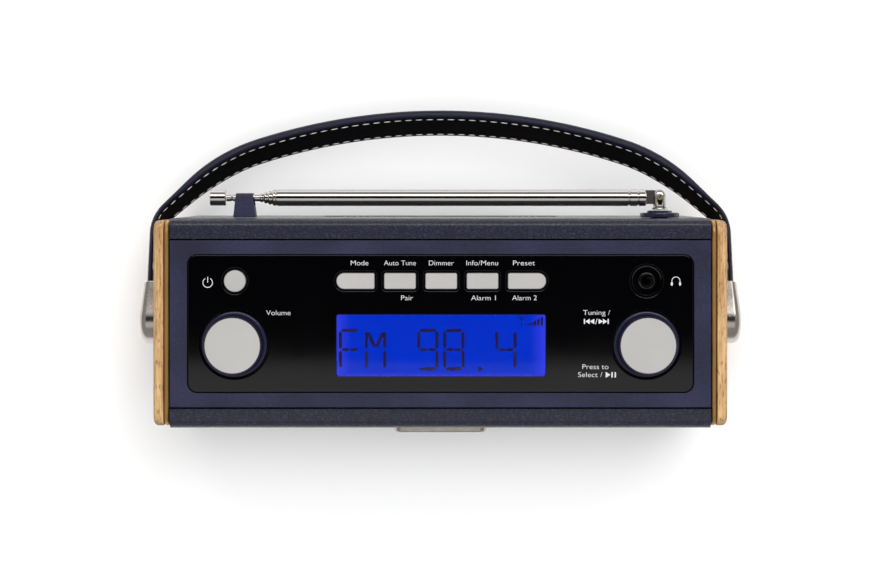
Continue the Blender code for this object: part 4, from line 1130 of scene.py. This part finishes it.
class RADIO_OT_aerial(bpy.types.Operator):
    """Telescopic aerial: gland, fork, blade, tubes, rod, tip and the rest that holds it."""

    bl_idname = "radio.aerial"
    bl_label = "Aerial"
    bl_options = {"REGISTER", "UNDO"}

    def execute(self, context):
        axis = (0, AERIAL_Y, AERIAL_Z)
        base = middle("aerial_gland")
        gland = [(0, -0.0075), (0.0040, -0.0075), (0.0040, 0.0003), (0.0083, 0.0003), (0.0087, 0.0007),
                 (0.0087, 0.0018), (0.0085, 0.0022), (0.0081, 0.0024), (0.0057, 0.0025),
                 (0.0055, 0.0027), (0.0054, 0.0032), (0.0052, 0.0034), (0, 0.0034)]
        piece("gland_boss", turned(bmesh.new(), gland, (base.x, REAR_FACE, base.z), "Y"), "gloss",
              "cabinet", "aerial_gland")
        self.fork()
        self.screw()
        self.tubes(axis)
        piece("aerial_rest", copied("aerial_clip", 0.0004, 3, 30), "satin", "cabinet",
              "aerial_clip")
        return {"FINISHED"}

    def fork(self):
        """Plated fork: turned collar, neck, and a domed ear above and below the blade."""
        low, high = corners("aerial_fork")
        x, y = middle("aerial_pivot_screw").xy
        collar = low.y
        bm = bmesh.new()
        rim = [(0, 0), (0.0035, 0), (0.0035, 0.0005), (0.0031, 0.0010), (0.0026, 0.0013), (0, 0.0013)]
        turned(bm, rim, (x, collar, AERIAL_Z), "Y", steps=64)
        outline = [(x - FORK_RADIUS, collar + 0.0009)]
        outline += arc((x, y + 0.0007), FORK_RADIUS, 180, 0, 24)
        outline += [(x + FORK_RADIUS, collar + 0.0009)]

        def ear(grow=0.0):
            centre = Vector((x, (collar + y) / 2))
            return [tuple(centre + (Vector(p) - centre) * (1 + grow / FORK_RADIUS)) for p in outline]

        def neck(grow=0.0):
            half = FORK_RADIUS + grow
            return [(x - half, collar + 0.0009), (x + half, collar + 0.0009), (x + half, collar + 0.0016),
                    (x - half, collar + 0.0016)]
        for face, sign in ((high.z, 1), (low.z, -1)):
            plate(bm, ear, [], face, AERIAL_Z + sign * 0.0015, 0.0019, steps=8)
        plate(bm, neck, [], AERIAL_Z + 0.0020, AERIAL_Z - 0.0020, 0.0001, steps=2)
        piece("forked_swivel", bm, "chrome", "aerial_swivel_head", "aerial_fork", 50)

    def screw(self):
        """Slotted pivot screw, which also clamps the fork."""
        low, high = corners("aerial_pivot_screw")
        centre = middle("aerial_pivot_screw")
        bm = bmesh.new()
        slot = rounded(0.0021, 0.00042, 0.0001, (0, 0), 2)
        plate(bm, circle(0.0014, steps=32), [slot], high.z, high.z - 0.0004, 0.00012, steps=2)
        bmesh.ops.rotate(bm, cent=(0, 0, 0), matrix=Matrix.Rotation(math.radians(58), 3, "Z"),
                         verts=bm.verts)
        bmesh.ops.translate(bm, vec=(centre.x, centre.y, 0), verts=bm.verts)
        shank = [(0, low.z), (0.0008, low.z), (0.0008, high.z - 0.0007), (0.00135, high.z - 0.0007),
                 (0.00135, high.z - 0.0004), (0, high.z - 0.0004)]
        other = turned(bmesh.new(), shank, (centre.x, centre.y, 0), steps=32)
        mesh = bpy.data.meshes.new("shank")
        other.to_mesh(mesh)
        other.free()
        bm.from_mesh(mesh)
        piece("slotted_pivot_screw", bm, "yellow_steel", "aerial_swivel_head",
              "aerial_pivot_screw")

    def tubes(self, axis):
        """Outer tube with its grooves and blade, three nested tubes, the rod and its tip."""
        low, high = corners("aerial_tube_1")
        radius = TUBE_RADII[0]
        groove = radius - 0.00045
        profile = [(0, TUBE_RIGHT), (radius - 0.0005, TUBE_RIGHT), (radius, TUBE_RIGHT - 0.0005)]
        for x in TUBE_GROOVES:
            profile += [(radius, x + 0.0004), (groove, x + 0.0002), (groove, x - 0.0002),
                        (radius, x - 0.0004)]
        end = low.x
        bore = TUBE_RADII[1] + TUBE_PLAY
        profile += [(radius, end + 0.0021), (radius - 0.00035, end + 0.0018),
                    (radius - 0.00035, end + 0.0015), (radius - 0.00002, end + 0.0011),
                    (radius - 0.00008, end + 0.0004), (radius - 0.0004, end), (bore, end),
                    (bore, 0.0800), (0, 0.0800)]
        piece("aerial_outer_tube", turned(bmesh.new(), profile, axis, "X"), "chrome", "mast_1",
              "aerial_tube_1", 28)
        pivot_x, tilt_y = middle("aerial_pivot_screw").xy
        blade = [(TUBE_RIGHT - 0.0010, tilt_y - 0.0032), (0.0945, tilt_y - 0.0032)]
        blade += [(pivot_x + x, tilt_y + y) for x, y in arc((0, 0), 0.0025, -90, 90, 16)]
        blade += [(0.0945, tilt_y + 0.0030), (TUBE_RIGHT - 0.0010, tilt_y + 0.0030)]
        bm = bmesh.new()
        slab(bm, blade, AERIAL_Z - 0.0012, AERIAL_Z + 0.0012)
        ease_edges(bm, 0.00025)
        piece("aerial_blade", bm, "worn_steel", "mast_1")
        for index in (1, 2, 3):
            node = f"aerial_tube_{index + 1}"
            low, high = corners(node)
            radius = TUBE_RADII[index]
            bore = TUBE_RADII[index + 1] + TUBE_PLAY
            profile = [(radius, high.x), (radius, low.x + 0.0019), (radius - 0.00032, low.x + 0.0016),
                       (radius - 0.00032, low.x + 0.0013), (radius - 0.00002, low.x + 0.0010),
                       (radius - 0.00006, low.x + 0.0004), (radius - 0.00033, low.x), (bore, low.x),
                       (bore, high.x)]
            piece(f"aerial_inner_tube_{index}", turned(bmesh.new(), profile, axis, "X", closed=True),
                  "chrome", f"mast_{index + 1}", node, 28)
        low, high = corners("aerial_rod")
        radius = TUBE_RADII[4]
        dent = low.x + 0.0024
        profile = [(0, low.x), (radius, low.x), (radius, dent - 0.0005), (radius - 0.0003, dent - 0.0001),
                   (radius - 0.0003, dent + 0.0001), (radius, dent + 0.0005), (radius, high.x),
                   (0, high.x)]
        piece("aerial_solid_rod", turned(bmesh.new(), profile, axis, "X", steps=64), "chrome",
              "mast_tip", "aerial_rod")
        low, high = corners("aerial_tip")
        radius = (high.z - low.z) / 2
        ease = 0.0003
        profile = [(0, low.x), (radius - ease * 1.6, low.x), (radius - ease * 0.6, low.x + ease * 0.3),
                   (radius, low.x + ease), (radius, high.x - ease), (radius - ease * 0.4, high.x - 0.0001),
                   (radius - ease, high.x), (0, high.x)]
        piece("aerial_end_stop", turned(bmesh.new(), profile, axis, "X"), "chrome", "mast_tip",
              "aerial_tip")


class RADIO_OT_front(bpy.types.Operator):
    """Punched grille with its blank badge, and the drivers behind it."""

    bl_idname = "radio.front"
    bl_label = "Front"
    bl_options = {"REGISTER", "UNDO"}

    def execute(self, context):
        sizes = context.scene.radio_sizes
        low, high = corners("front_grille")
        face, back = low.y, low.y + 0.0012
        pitch = sizes.hole_pitch
        columns = int((high.x - low.x - 0.008) / pitch)
        rows = int((high.z - low.z - 0.008) / pitch)
        left = -columns * pitch / 2
        foot = middle("front_grille").z - rows * pitch / 2
        bm = bmesh.new()
        centre = (left + pitch / 2, foot + pitch / 2)
        square = [(centre[0] + pitch / 2 * u, centre[1] + pitch / 2 * v)
                  for u, v in ((1, 0), (1, 1), (0, 1), (-1, 1), (-1, 0), (-1, -1), (0, -1), (1, -1))]
        hole = arc(centre, sizes.hole_radius, 0, 360, 8)[:-1]
        rim = arc(centre, sizes.hole_radius + 0.00025, 0, 360, 8)[:-1]
        rings = [[Vector((u, w, v)) for u, v in shape] for shape, w in
                 ((square, face), (rim, face), (hole, face + 0.00025), (hole, back), (square, back))]
        bridge(bm, rings)
        repeated(bm, columns, Vector((pitch, 0, 0)))
        repeated(bm, rows, Vector((0, 0, pitch)))
        bmesh.ops.remove_doubles(bm, verts=bm.verts, dist=1e-6)
        bmesh.ops.recalc_face_normals(bm, faces=bm.faces)
        piece("punched_grille", bm, "grille", "cabinet", "front_grille", 30)

        bm = bmesh.new()
        outline = rounded(high.x - low.x, high.z - low.z, 0.0027, (0, middle("front_grille").z), 8)
        field = rounded(columns * pitch - 0.0002, rows * pitch - 0.0002, 0.0002,
                        (0, foot + rows * pitch / 2), 2)
        plate(bm, outline, [field], low.y - 0.0001, high.y, 0.0006, "Y", 4)
        piece("grille_frame", bm, "grille", "cabinet")

        low, high = corners("grille_badge")
        outline = box_outline("grille_badge", (high.z - low.z) / 2 - 0.0005, 12, (0, 2))
        bm = plate(bmesh.new(), outline, [], low.y, high.y, 0.0011, "Y", 6)
        piece("blank_badge", bm, "cast_chrome", "cabinet", "grille_badge")
        repaint("speaker_baffle", "fibreboard")
        for side in ("left", "right"):
            repaint(f"{side}_speaker_basket", "dark_metal")
            repaint(f"{side}_speaker_cone", "paper")
        return {"FINISHED"}


class RADIO_OT_rear(bpy.types.Operator):
    """Battery hatch with its catch, and the power inlet."""

    bl_idname = "radio.rear"
    bl_label = "Rear"
    bl_options = {"REGISTER", "UNDO"}

    def execute(self, context):
        bm = copied("battery_door", 0.0005, 3, 60)
        face = corners("battery_door")[1].y
        for sign in (-1, 1):
            for step in range(5):
                x = sign * (0.0340 + 0.0030 * step)
                grip = rounded(0.0012, 0.0200, 0.0005, (x, middle("battery_door").z), 4)
                plate(bm, grip, [], face + 0.0003, face - 0.0006, 0.0003, "Y", 3)
        piece("hatch_panel", bm, "satin", "hatch", "battery_door")
        bm = copied("door_catch", 0.0002, 2, 40)
        face = corners("door_catch")[1].y
        for step in (-1, 0, 1):
            rib = rounded(0.0110, 0.0006, 0.0002, (0, middle("door_catch").z + 0.0012 * step), 3)
            plate(bm, rib, [], face + 0.0003, face - 0.0005, 0.0002, "Y", 3)
        piece("catch_thumb_piece", bm, "satin", "catch", "door_catch")
        centre = middle("dc_inlet")
        barrel = [(0, -0.0120), (0.0055, -0.0120), (0.0055, -0.0005), (0.0052, -0.0002), (0.0035, -0.0002),
                  (0.0031, -0.0006), (0.0031, -0.0095), (0.0009, -0.0095), (0.0009, -0.0018),
                  (0.0006, -0.0015), (0, -0.0015)]
        bm = turned(bmesh.new(), barrel, (centre.x, REAR_FACE, centre.z), "Y", steps=64)
        piece("inlet_barrel", bm, "black", "cabinet", "dc_inlet")
        return {"FINISHED"}


class RADIO_OT_internals(bpy.types.Operator):
    """Boards, battery tray and cells, which keep their CAD shapes."""

    bl_idname = "radio.internals"
    bl_label = "Internals"
    bl_options = {"REGISTER", "UNDO"}

    def execute(self, context):
        repaint("main_board", "board")
        repaint("control_board", "black")
        repaint("battery_tray", "black")
        for number in range(1, 5):
            repaint(f"battery_cell_{number}", "cell")
        return {"FINISHED"}


def soft_light(name, place, aim, size, radiance, shows=True):
    """Large soft area light of a given brightness, turned to its aim."""
    data = bpy.data.lights.new(name, "AREA")
    data.shape = "RECTANGLE"
    data.size, data.size_y = size
    data.energy = radiance * math.pi * size[0] * size[1]
    made = bpy.data.objects.new(name, data)
    bpy.context.collection.objects.link(made)
    made.location = place
    made.rotation_euler = (Vector(aim) - Vector(place)).to_track_quat("-Z", "Y").to_euler()
    made.visible_camera = False
    made.visible_glossy = shows
    made.visible_transmission = shows
    return made


def stage_sheet(name, low, high, height, colour):
    """Flat plain sheet of the stage."""
    bm = bmesh.new()
    centre = ((low[0] + high[0]) / 2, (low[1] + high[1]) / 2, height)
    size = Matrix.Diagonal((high[0] - low[0], high[1] - low[1], 1, 1))
    bmesh.ops.create_grid(bm, x_segments=1, y_segments=1, size=0.5, matrix=Matrix.Translation(centre) @ size)
    mesh = bpy.data.meshes.new(name)
    bm.to_mesh(mesh)
    bm.free()
    surface, tree, shader = begin(name + "_surface")
    put(tree, shader, {"Base Color": rgba(colour), "Roughness": 0.9, "Specular IOR Level": 0.0})
    mesh.materials.append(surface)
    made = bpy.data.objects.new(name, mesh)
    bpy.context.collection.objects.link(made)
    return made


class RADIO_OT_stage(bpy.types.Operator):
    """Pale floor, soft studio light and the camera above the radio."""

    bl_idname = "radio.stage"
    bl_label = "Stage"
    bl_options = {"REGISTER", "UNDO"}

    def execute(self, context):
        sizes = context.scene.radio_sizes
        scene = bpy.context.scene
        stage_sheet("pale_floor", (-7, -7), (7, 7), 0.0, linear("F0F0F0"))
        # dark card above the camera, which the gloss panel mirrors
        flag = stage_sheet("dark_card", (-0.9, -0.150), (0.9, 0.62), 1.60, linear("161616"))
        flag.visible_camera = False
        flag.visible_shadow = False
        soft_light("overhead_softbox", (0.06, 0.09, 1.40), (0, 0.02, 0), (0.55, 0.90), 12.5, False)
        soft_light("rear_softbox", (0.20, 1.25, 1.55), (0, 0.02, 0.10), (2.2, 0.5), 3.6)
        soft_light("front_card", (0, -0.59, 1.60), (0, -0.59, 0), (1.8, 0.88), 0.38)
        world = bpy.data.worlds.new("studio")
        world.use_nodes = True
        world.node_tree.nodes["Background"].inputs["Color"].default_value = (0.35, 0.35, 0.35, 1)
        scene.world = world
        data = bpy.data.cameras.new("overhead_camera")
        data.lens = sizes.camera_lens
        data.sensor_width = 36.0
        data.shift_x, data.shift_y = CAMERA_SHIFT
        camera = bpy.data.objects.new("overhead_camera", data)
        bpy.context.collection.objects.link(camera)
        camera.location = (CAMERA_SIDE, CABINET + CAMERA_BEHIND, CAMERA_HEIGHT)
        scene.camera = camera
        scene.view_settings.view_transform = "Standard"
        return {"FINISHED"}


OPERATORS = (RADIO_OT_cabinet, RADIO_OT_top_panel, RADIO_OT_display, RADIO_OT_lettering, RADIO_OT_knobs,
             RADIO_OT_keys, RADIO_OT_headphone_socket, RADIO_OT_handle, RADIO_OT_aerial, RADIO_OT_front,
             RADIO_OT_rear, RADIO_OT_internals, RADIO_OT_stage)


class RADIO_PT_sidebar(bpy.types.Panel):
    """Sizes, colours and builders of the radio."""

    bl_idname = "RADIO_PT_sidebar"
    bl_label = "Portable radio"
    bl_space_type = "VIEW_3D"
    bl_region_type = "UI"
    bl_category = "Radio"

    def draw(self, context):
        scene = context.scene
        for group in (scene.radio_sizes, scene.radio_colours):
            for name in group.__annotations__:
                self.layout.prop(group, name)
        for operator in OPERATORS:
            self.layout.operator(operator.bl_idname)


CLASSES = (RadioSizes, RadioColours) + OPERATORS + (RADIO_PT_sidebar,)


def register():
    for entry in CLASSES:
        bpy.utils.register_class(entry)
    bpy.types.Scene.radio_sizes = PointerProperty(type=RadioSizes)
    bpy.types.Scene.radio_colours = PointerProperty(type=RadioColours)
    bpy.types.Scene.radio_finishes = StringProperty(
        name="Finishes", description="Materials that are already made")


def unregister():
    del bpy.types.Scene.radio_finishes
    del bpy.types.Scene.radio_colours
    del bpy.types.Scene.radio_sizes
    for entry in reversed(CLASSES):
        bpy.utils.unregister_class(entry)


def main():
    register()
    for operator in OPERATORS:
        group, name = operator.bl_idname.split(".")
        getattr(getattr(bpy.ops, group), name)()


if __name__ == "__main__":
    main()
